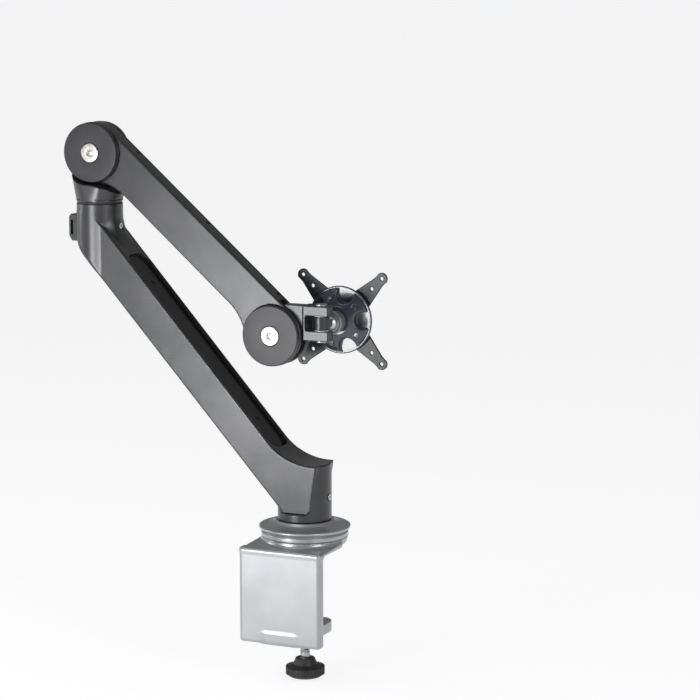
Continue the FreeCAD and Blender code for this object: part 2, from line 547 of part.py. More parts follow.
# ---------------------------------------------------------------- head
hz = float(d.head_level)
by = float(d.ball_y)
barrel_half = slot_half - 0.95
tongue = rod(d.barrel_rad, 2 * barrel_half, (px, 0, fork_mid - barrel_half))
tongue = tongue.makeFillet(1.0, [edge for edge in tongue.Edges if edge.BoundBox.ZLength < 1e-6])
tongue = tongue.fuse(block(px - 5, px + 5, 0, by - 13.5, hz - 4.6, hz + 5))
tongue = tongue.fuse(rod(5.0, 7.2, (px, by - 15, hz), AXIS_Y))
tongue = tongue.cut(rod(float(d.pan_pin_rad) + 0.05, 40, (px, 0, fork_mid - 20)))
tongue = tongue.cut(Part.makeSphere(float(d.ball_rad) + 0.03, V(px, by, hz)))
featured("pan_tongue", tongue.removeSplitter())
ball = doc.addObject("Part::Sphere", "tilt_ball")
ball.setExpression("Radius", "dims.ball_rad")
keep("tilt_ball", ball, at(px, by, hz))

socket = spun([(8.6, -5.6), (11.4, -5.6), (13.6, -3.8), (d.collar_rad, -0.5), (d.collar_rad, 9.5), (13, 11.3),
               (d.stud_rad, 11.3), (d.stud_rad, 30), (0, 30), (0, 0), (8.6, 0)], V(px, by, hz), AXIS_Y)
socket = socket.cut(Part.makeSphere(float(d.ball_rad) + 0.1, V(px, by, hz)))
socket = socket.cut(rod(3.05, 16, (px, by + 14.5, hz), AXIS_Y))
featured("tilt_socket", socket)
turned("hub_screw", [(0, 15.5), (3.0, 15.5), (3.0, 30.15), (9.6, 30.15), (10.4, 31.0), (10.4, 31.9), (2.4, 31.9),
                     (2.4, 31.2), (0, 31.2)], along="Y", place=at(px, by, hz))

# The hand knob: a round flange with a five-pointed star of rounded lobes in front of it.
star = spun([(12.1, 12.0), (17, 12.0), (27, 15.0), (36.5, 19.5), (37.5, 23.2), (12.1, 23.2)], axis=AXIS_Y)
for k in range(5):
    turn = math.radians(3 + 72 * k)
    star = star.cut(rod(10.5, 20, (31 * math.cos(turn), 8, 31 * math.sin(turn)), AXIS_Y))
knob = star.fuse(rod(d.hub_rad, 3.6, (0, 23.0, 0), AXIS_Y))
knob = knob.cut(rod(12.1, 40, (0, 0, 0), AXIS_Y))
featured("hand_knob", knob.removeSplitter(), at(px, by, hz))
turned("knob_insert", [(d.stud_rad + 0.1, 12.0), (12.0, 12.0), (12.0, 26.6), (d.stud_rad + 0.1, 26.6)], along="Y",
       place=at(px, by, hz))
turned("friction_washer", [(d.stud_rad + 0.15, 26.8), (22, 26.8), (22, 28.8), (d.stud_rad + 0.15, 28.8)],
       along="Y", place=at(px, by, hz))

# The X-shaped mounting plate: two crossed legs that widen towards the hub.
rear = float(d.plate_face)
plate_y = rear - float(d.plate_thick)
tip = float(d.vesa_large) / 2
plate = rod(30, d.plate_thick, (0, 0, 0), AXIS_Y)
for turn in (45, 135):
    reach = tip * math.sqrt(2)
    leg = prism_y([(-reach, -7), (-20, -16), (20, -16), (reach, -7), (reach, 7), (20, 16), (-20, 16),
                   (-reach, 7)], 0, float(d.plate_thick))
    for end in (-reach, reach):
        leg = leg.fuse(rod(d.leg_half, d.plate_thick, (end, 0, 0), AXIS_Y))
    leg.rotate(V(0, 0, 0), AXIS_Y, turn)
    plate = plate.fuse(leg)
for span in (float(d.vesa_large) / 2, float(d.vesa_small) / 2):
    for sx in (-1, 1):
        for sz in (-1, 1):
            plate = plate.cut(rod(d.vesa_hole_rad, 10, (sx * span, -3, sz * span), AXIS_Y))
plate = plate.cut(rod(float(d.stud_rad) + 0.15, 10, (0, -3, 0), AXIS_Y))
plate = plate.cut(rod(10.8, 10, (0, 1.1, 0), AXIS_Y))
featured("vesa_plate", plate.removeSplitter(), at(px, plate_y, hz))

# ---------------------------------------------------------------- check and write
doc.recompute()
for item in doc.Objects:
    bad = [word for word in item.State if word in ("Invalid", "Error")]
    if bad:
        raise RuntimeError(item.Name + " is " + ", ".join(bad))
os.makedirs("parts", exist_ok=True)
for name, item in pieces.items():
    shape = item.Shape
    if shape.isNull() or not shape.isValid() or shape.Volume <= 0:
        raise RuntimeError(name + " has no valid shape")
    shape.exportStep("parts/" + name + ".step")
    print("%-20s %2d solid %10.1f mm3" % (name, len(shape.Solids), shape.Volume))
print(len(pieces), "nodes")
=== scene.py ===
"""Monitor arm: the visible surfaces, finishes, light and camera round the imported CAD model."""
import json
import math

import bpy
import numpy as np
from mathutils import Matrix, Vector


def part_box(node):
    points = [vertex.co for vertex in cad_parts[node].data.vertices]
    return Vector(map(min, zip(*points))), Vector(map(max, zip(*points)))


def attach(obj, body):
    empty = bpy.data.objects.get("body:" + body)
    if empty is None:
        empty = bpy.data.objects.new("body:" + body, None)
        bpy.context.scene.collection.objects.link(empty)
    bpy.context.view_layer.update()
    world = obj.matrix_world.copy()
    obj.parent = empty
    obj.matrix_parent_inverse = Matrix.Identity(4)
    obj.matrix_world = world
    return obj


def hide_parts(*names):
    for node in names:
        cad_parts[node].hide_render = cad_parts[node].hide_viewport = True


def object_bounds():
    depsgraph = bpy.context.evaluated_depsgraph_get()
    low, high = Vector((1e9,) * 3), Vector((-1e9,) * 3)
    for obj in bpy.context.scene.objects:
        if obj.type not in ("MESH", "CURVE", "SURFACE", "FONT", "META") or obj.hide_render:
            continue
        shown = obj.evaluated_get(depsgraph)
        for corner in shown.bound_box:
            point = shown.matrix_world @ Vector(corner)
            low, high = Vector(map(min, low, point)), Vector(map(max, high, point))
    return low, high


bl_info = {
    "name": "Monitor Arm Builder",
    "version": (1, 0, 0),
    "blender": (4, 5, 0),
    "location": "3D View > Sidebar > Monitor Arm",
    "description": "Builds the castings, discs, head and clamp of a desk monitor arm",
    "category": "Object",
}

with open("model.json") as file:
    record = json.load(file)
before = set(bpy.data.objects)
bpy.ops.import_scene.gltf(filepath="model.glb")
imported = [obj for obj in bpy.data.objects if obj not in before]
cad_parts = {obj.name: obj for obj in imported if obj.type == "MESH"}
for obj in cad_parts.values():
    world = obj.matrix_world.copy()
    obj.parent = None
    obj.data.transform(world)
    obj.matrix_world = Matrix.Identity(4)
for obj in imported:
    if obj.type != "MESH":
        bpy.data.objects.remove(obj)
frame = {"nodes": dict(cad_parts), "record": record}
CAD_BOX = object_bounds()
MM = 0.001
BODY_OF = {node: body for body, nodes in frame["record"]["behaviour"]["bodies"].items() for node in nodes}


def middle(node):
    """The middle of a CAD node's box, in millimetres."""
    low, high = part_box(node)
    return [(a + b) / 2 / MM for a, b in zip(low, high)]


def reach(node):
    """A CAD node's lowest and highest corners, in millimetres."""
    low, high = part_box(node)
    return [a / MM for a in low], [b / MM for b in high]


ELBOW_X, _, ELBOW_Z = middle("elbow_axle")
SOCKET_X = middle("elbow_post")[0]
WRIST_X, _, WRIST_Z = middle("wrist_axle")
PAN_X = middle("pan_pin")[0]
FORK_Z = middle("pan_pin")[2]
HEAD_Z = middle("vesa_plate")[2]
BALL_Y = middle("tilt_ball")[1]
PLATE_Y = reach("vesa_plate")[1][1]
SEAM_Z = reach("elbow_washer")[0][2]
ARM_DROP = math.atan2(ELBOW_Z - WRIST_Z, WRIST_X - ELBOW_X)
ARM_LONG = math.hypot(ELBOW_Z - WRIST_Z, WRIST_X - ELBOW_X)


# ------------------------------------------------------------------ settings
class MonitorArmShape(bpy.types.PropertyGroup):
    """Sizes a user would change."""

    casting_step: bpy.props.FloatProperty(
        name="Casting detail", description="Spacing of the points that the castings are skinned from, in mm",
        default=1.5, min=0.5, max=6.0)
    edge_round: bpy.props.FloatProperty(
        name="Arm edge rounding", description="Radius of the upper arm's long edges, in mm", default=1.8, min=0.5)
    thread_pitch: bpy.props.FloatProperty(
        name="Clamp thread pitch", description="Rise of the clamp screw's thread in one turn", default=3.0 * MM,
        unit="LENGTH", subtype="DISTANCE")
    grip_count: bpy.props.IntProperty(
        name="Grip ribs", description="Ribs round each lobe ring of the clamp knob", default=36, min=3)


class MonitorArmFinish(bpy.types.PropertyGroup):
    """Finishes a user would change, as sRGB hex values."""

    graphite: bpy.props.StringProperty(
        name="Arm paint", description="Satin metallic paint on the castings", default="#4A4A4B")
    silver: bpy.props.StringProperty(
        name="Base paint", description="Satin silver paint on the base and the clamp", default="#AEAFB2")
    hub: bpy.props.StringProperty(
        name="Hand knob", description="Moulded blue-grey nylon of the head's hand knob", default="#363B46")


# ------------------------------------------------------------------ materials
def hex_linear(text):
    """An sRGB hex colour as linear RGBA."""
    parts = [int(text[i:i + 2], 16) / 255.0 for i in (1, 3, 5)]
    return tuple(c / 12.92 if c <= 0.04045 else ((c + 0.055) / 1.055) ** 2.4 for c in parts) + (1.0,)


def add_node(tree, kind, settings=None, links=None):
    """Add one node with its settings (properties or socket values) and its incoming links."""
    node = tree.nodes.new(kind)
    for key, value in (settings or {}).items():
        if isinstance(key, str) and hasattr(node, key):
            setattr(node, key, value)
        else:
            node.inputs[key].default_value = value
    for key, source in (links or {}).items():
        tree.links.new(source, node.inputs[key])
    return node


def new_finish(name):
    """A material with an empty tree, its shader and its output."""
    material = bpy.data.materials.new(name)
    material.use_nodes = True
    tree = material.node_tree
    tree.nodes.clear()
    shader = add_node(tree, "ShaderNodeBsdfPrincipled")
    add_node(tree, "ShaderNodeOutputMaterial", links={"Surface": shader.outputs["BSDF"]})
    where = add_node(tree, "ShaderNodeTexCoord")
    return material, tree, shader, where.outputs["Object"]


def grain(tree, where, size_mm, detail=2.0, stretch=(1, 1, 1)):
    """Noise whose blotches are size_mm across."""
    scale = add_node(tree, "ShaderNodeMapping", {"Scale": stretch}, {"Vector": where})
    return add_node(tree, "ShaderNodeTexNoise", {"Scale": 1.0 / (size_mm * MM), "Detail": detail},
                    {"Vector": scale.outputs["Vector"]})


def tint(tree, factor, low, high, start=0.35, end=0.65):
    """A colour ramp between two hex colours."""
    ramp = add_node(tree, "ShaderNodeValToRGB", links={"Fac": factor})
    ramp.color_ramp.elements[0].position = start
    ramp.color_ramp.elements[1].position = end
    ramp.color_ramp.elements[0].color = hex_linear(low)
    ramp.color_ramp.elements[1].color = hex_linear(high)
    return ramp.outputs["Color"]


def span(tree, factor, low, high):
    """A 0..1 factor remapped to low..high."""
    return add_node(tree, "ShaderNodeMapRange", {"To Min": low, "To Max": high}, {"Value": factor}).outputs["Result"]


def relief(tree, height, depth_mm, strength, before=None):
    """A bump whose full height is depth_mm."""
    links = {"Height": height}
    if before is not None:
        links["Normal"] = before
    node = add_node(tree, "ShaderNodeBump", {"Strength": strength, "Distance": depth_mm * MM}, links)
    return node.outputs["Normal"]


def satin_paint(name, low, high, metallic, rough_low, rough_high, flake_mm, peel):
    """Satin metallic powder paint on a die casting: fine flake, soft orange peel, a thin clear film."""
    material, tree, shader, where = new_finish(name)
    flake = grain(tree, where, flake_mm, 3.0)
    cloud = grain(tree, where, 45.0, 2.0)
    peel_noise = grain(tree, where, 1.6, 1.0)
    mix = add_node(tree, "ShaderNodeMath", {"operation": "MULTIPLY_ADD", 1: 0.55},
                   {0: flake.outputs["Fac"], 2: span(tree, cloud.outputs["Fac"], 0.05, 0.4)})
    tree.links.new(tint(tree, mix.outputs["Value"], low, high), shader.inputs["Base Color"])
    tree.links.new(span(tree, flake.outputs["Fac"], rough_low, rough_high), shader.inputs["Roughness"])
    bump = relief(tree, flake.outputs["Fac"], 0.02, 0.25)
    bump = relief(tree, peel_noise.outputs["Fac"], 0.05, peel, bump)
    tree.links.new(bump, shader.inputs["Normal"])
    shader.inputs["Metallic"].default_value = metallic
    shader.inputs["Coat Weight"].default_value = 0.12
    shader.inputs["Coat Roughness"].default_value = 0.3
    return material


def turned_metal(name, low, high, roughness, ring_mm, axis):
    """Metal faced on a lathe: fine rings about the piece's own axis, bright where they catch the light."""
    material, tree, shader, where = new_finish(name)
    rings = add_node(tree, "ShaderNodeTexWave",
                     {"wave_type": "RINGS", "rings_direction": axis, "Scale": 0.31 / (ring_mm * MM),
                      "Distortion": 0.4, "Detail": 1.0},
                     {"Vector": where})
    wear = grain(tree, where, 6.0, 3.0)
    tree.links.new(tint(tree, wear.outputs["Fac"], low, high), shader.inputs["Base Color"])
    tree.links.new(span(tree, rings.outputs["Fac"], roughness - 0.05, roughness + 0.06), shader.inputs["Roughness"])
    tree.links.new(relief(tree, rings.outputs["Fac"], 0.03, 0.2), shader.inputs["Normal"])
    shader.inputs["Metallic"].default_value = 1.0
    return material


def plated_steel(name, low, high, roughness):
    """Zinc-plated steel: a bright grey skin with soft cloudy patches and faint drawn lines."""
    material, tree, shader, where = new_finish(name)
    cloud = grain(tree, where, 5.0, 3.0)
    lines = grain(tree, where, 0.5, 2.0, (1, 1, 0.08))
    tree.links.new(tint(tree, cloud.outputs["Fac"], low, high), shader.inputs["Base Color"])
    tree.links.new(span(tree, lines.outputs["Fac"], roughness - 0.08, roughness + 0.1), shader.inputs["Roughness"])
    tree.links.new(relief(tree, lines.outputs["Fac"], 0.01, 0.3), shader.inputs["Normal"])
    shader.inputs["Metallic"].default_value = 1.0
    return material


def moulded_plastic(name, low, high, rough_low, rough_high, grit_mm, depth, coat=0.0, specular=0.5):
    """Injection-moulded plastic: even colour, a fine spark-eroded grain and slight flow clouding."""
    material, tree, shader, where = new_finish(name)
    grit = grain(tree, where, grit_mm, 2.0)
    cloud = grain(tree, where, 20.0, 2.0)
    tree.links.new(tint(tree, cloud.outputs["Fac"], low, high), shader.inputs["Base Color"])
    tree.links.new(span(tree, grit.outputs["Fac"], rough_low, rough_high), shader.inputs["Roughness"])
    tree.links.new(relief(tree, grit.outputs["Fac"], depth, 0.3), shader.inputs["Normal"])
    shader.inputs["IOR"].default_value = 1.53
    shader.inputs["Specular IOR Level"].default_value = specular
    shader.inputs["Coat Weight"].default_value = coat
    shader.inputs["Coat Roughness"].default_value = 0.08
    return material


FINISH = {}


def make_finishes(look):
    """Every finish of the object, named for what the real one is."""
    FINISH["graphite"] = satin_paint("graphite satin metallic paint", "#303132", look.graphite, 0.6, 0.26, 0.36,
                                     0.35, 0.1)
    FINISH["disc"] = satin_paint("graphite satin paint on turned discs", "#2A2A2C", "#38383A", 0.4, 0.40, 0.5,
                                 0.3, 0.08)
    FINISH["silver"] = satin_paint("silver satin paint", "#98999C", look.silver, 0.6, 0.26, 0.36, 0.35, 0.12)
    FINISH["plate"] = satin_paint("black electro-coated steel", "#1E1F20", "#303133", 0.3, 0.34, 0.5, 0.8, 0.35)
    FINISH["cover"] = moulded_plastic("gloss black acrylic strip", "#0A0A0B", "#0F0F10", 0.2, 0.28, 3.0, 0.01,
                                      specular=0.3)
    FINISH["hub"] = moulded_plastic("gloss blue-grey nylon", "#2B3039", look.hub, 0.16, 0.24, 0.7, 0.02, 0.4)
    FINISH["knob"] = moulded_plastic("black grained nylon", "#151516", "#1F1F21", 0.45, 0.6, 0.5, 0.05)
    FINISH["bush"] = moulded_plastic("natural acetal bush", "#C9C6BC", "#DAD7CE", 0.35, 0.45, 0.8, 0.02)
    FINISH["collar"] = satin_paint("grey satin paint on the joint collar", "#7C7E82", "#8F9195", 0.5, 0.26, 0.36,
                                   0.3, 0.08)
    FINISH["tongue"] = satin_paint("black satin paint on the tongue", "#2A2B2E", "#3A3B3F", 0.5, 0.24, 0.34, 0.3, 0.1)
    FINISH["caps"] = turned_metal("satin turned aluminium", "#B9B8B4", "#CAC9C5", 0.34, 0.5, "Y")
    FINISH["steel"] = plated_steel("zinc-plated steel", "#A7A8AA", "#C2C3C4", 0.28)
    FINISH["dark steel"] = plated_steel("black oxide steel", "#2C2C2E", "#3C3C3E", 0.34)
    FINISH["cast"] = plated_steel("bead-blasted cast aluminium", "#8D8E90", "#A4A5A7", 0.46)
    FINISH["brass"] = turned_metal("turned brass", "#B08D4A", "#C9A65C", 0.26, 0.6, "Y")
    FINISH["rubber"] = moulded_plastic("moulded rubber", "#161616", "#1F1F1F", 0.7, 0.85, 0.6, 0.06)


# ------------------------------------------------------------------ mesh tools
def mesh_object(name, points, faces, finish, smooth=True):
    """A new object at the origin from points in millimetres."""
    mesh = bpy.data.meshes.new(name)
    mesh.from_pydata([(float(a) * MM, float(b) * MM, float(c) * MM) for a, b, c in points], [], faces)
    mesh.validate()
    if smooth:
        mesh.shade_smooth()
    mesh.materials.append(FINISH[finish])
    piece = bpy.data.objects.new(name, mesh)
    bpy.context.scene.collection.objects.link(piece)
    return piece


def fit_in(piece, node, *others):
    """Let a piece ride on a CAD node's body and stand for that node and any others."""
    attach(piece, BODY_OF[node])
    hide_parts(node, *others)
    return piece


def soften(corners, radius, steps=5):
    """Corners of an open or closed outline rounded by arcs; radius may be a list, one per corner."""
    result = []
    count = len(corners)
    for i, corner in enumerate(corners):
        r = radius[i] if isinstance(radius, (list, tuple)) else radius
        here = np.array(corner, float)
        before = np.array(corners[i - 1], float) - here
        after = np.array(corners[(i + 1) % count], float) - here
        la, lb = np.linalg.norm(before), np.linalg.norm(after)
        if r <= 0 or la < 1e-6 or lb < 1e-6:
            result.append(tuple(here))
            continue
        before, after = before / la, after / lb
        half = math.acos(max(-1.0, min(1.0, float(before @ after)))) / 2
        if half > math.pi / 2 - 0.02:
            result.append(tuple(here))
            continue
        back = min(r / math.tan(half), la * 0.49, lb * 0.49)
        real = back * math.tan(half)
        bisector = before + after
        centre = here + bisector / np.linalg.norm(bisector) * (real / math.sin(half))
        start, end = here + before * back, here + after * back
        for k in range(steps + 1):
            point = start + (end - start) * (k / steps) - centre
            result.append(tuple(centre + point / np.linalg.norm(point) * real))
    return result


def lathe(name, outline, centre, axis, finish, segments=96):
    """A turned piece: closed outline of (radius, run) corners about an axis through centre."""
    points, faces = [], []
    count = len(outline)
    for k in range(segments):
        turn = 2 * math.pi * k / segments
        c, s = math.cos(turn), math.sin(turn)
        for rad, run in outline:
            rad = max(rad, 0.0)
            if axis == "Z":
                points.append((centre[0] + rad * c, centre[1] + rad * s, centre[2] + run))
            elif axis == "Y":
                points.append((centre[0] + rad * s, centre[1] + run, centre[2] + rad * c))
            else:
                points.append((centre[0] + run, centre[1] + rad * c, centre[2] + rad * s))
    for k in range(segments):
        for i in range(count):
            j = (i + 1) % count
            if outline[i][0] <= 1e-6 and outline[j][0] <= 1e-6:
                continue
            a, b = k * count, ((k + 1) % segments) * count
            faces.append((a + i, a + j, b + j, b + i))
    piece = mesh_object(name, points, faces, finish)
    weld(piece)
    return piece


def weld(piece, distance=1e-6, sharp=35.0):
    """Merge doubled points, turn every face outwards and keep crisp corners crisp."""
    import bmesh
    work = bmesh.new()
    work.from_mesh(piece.data)
    bmesh.ops.remove_doubles(work, verts=work.verts, dist=distance)
    bmesh.ops.dissolve_degenerate(work, edges=work.edges, dist=distance)
    bmesh.ops.recalc_face_normals(work, faces=work.faces)
    work.to_mesh(piece.data)
    work.free()
    piece.data.set_sharp_from_angle(angle=math.radians(sharp))


# Distance fields: each takes coordinates that broadcast together and gives millimetres to
# the surface, negative inside. Castings are unions and cuts of these with soft joins.
def blend_in(a, b, k):
    """Union with a fillet of about k."""
    h = np.clip(0.5 + 0.5 * (b - a) / k, 0, 1)
    return b + (a - b) * h - k * h * (1 - h)


def cut_out(a, b, k=0.6):
    """Cut b out of a, with an edge softened by about k."""
    return -blend_in(-a, b, k)


def keep_common(a, b, k=0.6):
    """What a and b share, with softened edges."""
    return -blend_in(-a, -b, k)


def rounded_pair(d1, d2, r):
    """Two crossing distances joined with an edge radius r."""
    d1, d2 = d1 + r, d2 + r
    outside = np.hypot(np.maximum(d1, 0), np.maximum(d2, 0))
    return outside + np.minimum(np.maximum(d1, d2), 0) - r


def post(u, v, w, cu, cv, rad, w0, w1, r=0.8):
    """A round bar along w."""
    return rounded_pair(np.hypot(u - cu, v - cv) - rad, np.abs(w - (w0 + w1) / 2) - (w1 - w0) / 2, r)


def brick(x, y, z, lo, hi, r=1.0):
    """A box with rounded edges."""
    parts = []
    for value, a, b in zip((x, y, z), lo, hi):
        parts.append(np.abs(value - (a + b) / 2) - (b - a) / 2 + r)
    outside = np.sqrt(sum(np.maximum(part, 0) ** 2 for part in parts))
    inside = np.minimum(np.maximum(np.maximum(parts[0], parts[1]), parts[2]), 0)
    return outside + inside - r


def slab_2d(u, v, cu, cv, hu, hv, r):
    """A rounded rectangle's flat distance."""
    du, dv = np.abs(u - cu) - hu + r, np.abs(v - cv) - hv + r
    return np.hypot(np.maximum(du, 0), np.maximum(dv, 0)) + np.minimum(np.maximum(du, dv), 0) - r


def outline_2d(u, v, corners):
    """Signed distance to a closed outline of (u, v) corners."""
    u, v = np.broadcast_arrays(u, v)
    best = np.full(u.shape, 1e9)
    inside = np.zeros(u.shape, bool)
    count = len(corners)
    for i in range(count):
        (ax, ay), (bx, by) = corners[i], corners[(i + 1) % count]
        ex, ey = bx - ax, by - ay
        span2 = ex * ex + ey * ey
        if span2 < 1e-12:
            continue
        pu, pv = u - ax, v - ay
        t = np.clip((pu * ex + pv * ey) / span2, 0, 1)
        best = np.minimum(best, (pu - ex * t) ** 2 + (pv - ey * t) ** 2)
        crosses = ((ay <= v) != (by <= v))
        if abs(ey) > 1e-12:
            inside ^= crosses & (u < ax + (v - ay) * ex / ey)
    return np.sqrt(best) * np.where(inside, -1.0, 1.0)


def skin(name, field, low, high, step, finish, place=None):
    """Skin a distance field: a net of quads whose points are then moved onto the surface."""
    low, high = np.array(low, float), np.array(high, float)
    counts = np.ceil((high - low) / step).astype(int) + 1
    xs, ys, zs = [low[i] + step * np.arange(counts[i]) for i in range(3)]
    value = np.broadcast_to(field(xs[:, None, None], ys[None, :, None], zs[None, None, :]), counts).astype(np.float32)
    solid = value < 0
    cells = tuple(counts - 1)
    total, hits = np.zeros(cells + (3,), np.float32), np.zeros(cells, np.float32)
    corners = [(i, j, k) for i in (0, 1) for j in (0, 1) for k in (0, 1)]

    def corner(grid, c):
        return grid[c[0]:c[0] + cells[0], c[1]:c[1] + cells[1], c[2]:c[2] + cells[2]]

    for a in corners:
        for axis in range(3):
            if a[axis]:
                continue
            b = tuple(a[i] + (1 if i == axis else 0) for i in range(3))
            va, vb = corner(value, a), corner(value, b)
            mixed = (va < 0) != (vb < 0)
            t = np.where(mixed, va / np.where(mixed, va - vb, 1), 0)
            for i in range(3):
                total[..., i] += np.where(mixed, a[i] + (t if i == axis else 0), 0)
            hits += mixed
    active = hits > 0
    index = np.full(cells, -1, np.int64)
    index[active] = np.arange(active.sum())
    where = np.argwhere(active)
    points = low + (where + total[active] / hits[active][:, None]) * step
    faces = []
    for axis in range(3):
        u, v = [(1, 2), (2, 0), (0, 1)][axis]
        first = [slice(1, cells[i]) for i in range(3)]
        first[axis] = slice(0, cells[axis])
        second = list(first)
        second[axis] = slice(1, cells[axis] + 1)
        inside_a, inside_b = solid[tuple(first)], solid[tuple(second)]
        for flip, edge in ((False, inside_a & ~inside_b), (True, ~inside_a & inside_b)):
            spots = np.argwhere(edge)
            for i in range(3):
                if i != axis:
                    spots[:, i] += 1
            quad = []
            for du, dv in ((1, 1), (0, 1), (0, 0), (1, 0)):
                cell = spots.copy()
                cell[:, u] -= du
                cell[:, v] -= dv
                quad.append(index[cell[:, 0], cell[:, 1], cell[:, 2]])
            quad = np.stack(quad[::-1] if flip else quad, 1)
            faces.append(quad[(quad >= 0).all(1)])
    faces = np.concatenate(faces)

    def at(p):
        return field(p[:, 0], p[:, 1], p[:, 2])

    def slope(p, e=0.02):
        return np.stack([at(p + d) - at(p - d) for d in np.eye(3) * e], 1) / (2 * e)

    for _ in range(3):
        grad = slope(points)
        away = np.clip(at(points), -step, step)
        points = points - grad * (away / np.maximum((grad ** 2).sum(1), 0.25))[:, None]
    normals = slope(points, 0.25)
    normals /= np.maximum(np.linalg.norm(normals, axis=1), 1e-9)[:, None]
    if place is not None:
        points, normals = points @ place[0].T + place[1], normals @ place[0].T
    piece = mesh_object(name, points.tolist(), faces.tolist(), finish)
    mesh = piece.data
    if len(mesh.vertices) != len(points):
        raise RuntimeError(name + " lost points when its mesh was checked")
    mesh.normals_split_custom_set_from_vertices(normals.tolist())
    return piece


def cast(name, node, field, margin, detail, finish):
    """Skin a casting in its CAD node's box, grown by a margin in mm, and let it stand for that node."""
    low, high = reach(node)
    piece = skin(name, field, [a - margin for a in low], [a + margin for a in high], SHAPE["step"] * detail,
                 finish)
    return fit_in(piece, node)


# ------------------------------------------------------------------ shared outlines
COS, SIN = math.cos(ARM_DROP), math.sin(ARM_DROP)
ON_ARM = (np.array([[COS, 0, SIN], [0, 1, 0], [-SIN, 0, COS]]), np.array([ELBOW_X, 0, ELBOW_Z]))


def along_arm(x, z):
    """World x, z as distance along the upper arm and square to it, from the elbow."""
    dx, dz = x - ELBOW_X, z - ELBOW_Z
    return dx * COS - dz * SIN, dx * SIN + dz * COS


def arm_side(grow=0.0, rad=36.0, top=36.0, under=10.6, flare=60.0, steps=20):
    """The upper arm's side outline: round ends, a straight top and a flared underside."""
    rad, top, low, flare = rad + grow, top + grow, -under - grow, flare - grow
    drop = flare - low
    run = math.sqrt((rad + flare) ** 2 - drop ** 2)
    touch = math.atan2(-drop, run)
    points = []
    for k in range(steps * 2 + 1):
        a = math.pi / 2 + (2 * math.pi + touch - math.pi / 2) * k / (steps * 2)
        points.append((rad * math.cos(a), rad * math.sin(a)))
    for k in range(1, steps + 1):
        a = math.pi + touch + (math.pi / 2 - math.pi - touch) * k / steps
        points.append((run + flare * math.cos(a), -drop + flare * math.sin(a)))
    mirror = [(ARM_LONG - u, n) for u, n in reversed(points)]
    return points + mirror


ARM_SIDE = arm_side()
ARM_HALF, CHEEK_HALF, STRIP_HALF = 11.0, 7.5, 7.25
STRIP_SCREWS, STRIP_SCREW_Y = (40.0, 160.0, 280.0), 4.1
COVER_SCREWS = (15.5, 220.0)
TAB_BACK, TAB_FRONT = -7.2, 3.9
LEAN = math.atan2(186.0, 166.0)
TOP_A = (-204.0, 311.8)
ON_BEAM = (np.array([[math.cos(LEAN), 0, math.sin(LEAN)], [0, 1, 0], [-math.sin(LEAN), 0, math.cos(LEAN)]]),
           np.array([TOP_A[0], 0, TOP_A[1]]))


def along_beam(x, z):
    """World x, z as distance down the lower arm's top line and depth under it."""
    dx, dz = x - TOP_A[0], z - TOP_A[1]
    return dx * math.cos(LEAN) - dz * math.sin(LEAN), -dx * math.sin(LEAN) - dz * math.cos(LEAN)


BEAM_SIDE = soften(
    [(-31.5, 57.0), (SOCKET_X - 27.2, 347.7), (SOCKET_X - 27.2, 380.0), (-264.9, 380.0), (-12.6, 97.3),
     (60.0, 99.5), (60.0, 41.0), (-17.0, 41.0)],
    [6, 8, 0, 0, 74, 0, 0, 6], steps=14)
SCOOP = soften([(-204.0, 311.8), (-12.6, 97.3), (60.0, 99.5), (60.0, 330.0)], [0, 74, 0, 0], steps=14)


# ------------------------------------------------------------------ castings
def lower_arm(x, y, z):
    """The lower arm: a flat-sided slanted beam growing out of two upright sockets."""
    flat = keep_common(outline_2d(x, z, BEAM_SIDE), (x - 17.8) * 0.989 - (z - 41.0) * 0.148, 2.0)
    round_end = np.where(x < SOCKET_X, np.hypot(x - SOCKET_X, y) - 27.2, np.abs(y) - 27.2)
    beam = rounded_pair(flat, np.abs(y) - 25.0, 2.2)
    beam = keep_common(beam, round_end, 2.0)
    low = post(x, y, z, 0, 0, 31.5, 31.8, 110, 1.2)
    low = cut_out(low, outline_2d(x, z, SCOOP), 1.6)
    panel = rounded_pair(outline_2d(x, z, [(-60, 210), (-60, 41.5), (13, 41.5), (19.5, 47.5), (22, 210)]),
                         25.0 - np.abs(y), 0.4)
    low = cut_out(low, panel, 2.0)
    top = post(x, y, z, SOCKET_X, 0, 27.5, 300.0, 389.4, 1.0)
    under = ((x + 31.5) * 0.742 + (z - 57.0) * 0.670)
    top = keep_common(top, -under, 5.0)
    fillet = 2.0 + 14.0 * np.clip((x - SOCKET_X - 6) / 14, 0, 1) * np.clip((22 - np.abs(y)) / 10, 0, 1)
    body = blend_in(beam, top, fillet)
    body = np.minimum(body, low)
    s, depth = along_beam(x, z)
    trough = rounded_pair(slab_2d(s, y, 119.0, 0.0, 145.0, 22.0, 16.0), np.maximum(depth - 6.0, -depth - 40.0), 0.5)
    body = cut_out(body, trough, 1.0)
    ledge = rounded_pair(slab_2d(s, y, 119.0, 0.0, 137.0, 19.0, 13.0), np.maximum(depth - 24.0, -depth - 20.0), 0.5)
    body = cut_out(body, ledge, 0.4)
    body = cut_out(body, post(x, y, z, 0, 0, 16.0, 20.0, 93.0, 0.2), 0.4)
    body = cut_out(body, post(y, z, x, 0, 59.0, 4.0, 29.3, 40.0, 0.1), 0.5)
    body = cut_out(body, post(x, y, z, SOCKET_X, 0, 15.5, 318.0, 332.2, 0.2), 0.3)
    body = cut_out(body, post(y, z, x, 0, 362.7, 4.0, SOCKET_X + 25.5, SOCKET_X + 45.0, 0.1), 0.5)
    return cut_out(body, post(x, y, z, SOCKET_X, 0, 14.0, 331.0, 395.0, 0.2), 0.4)


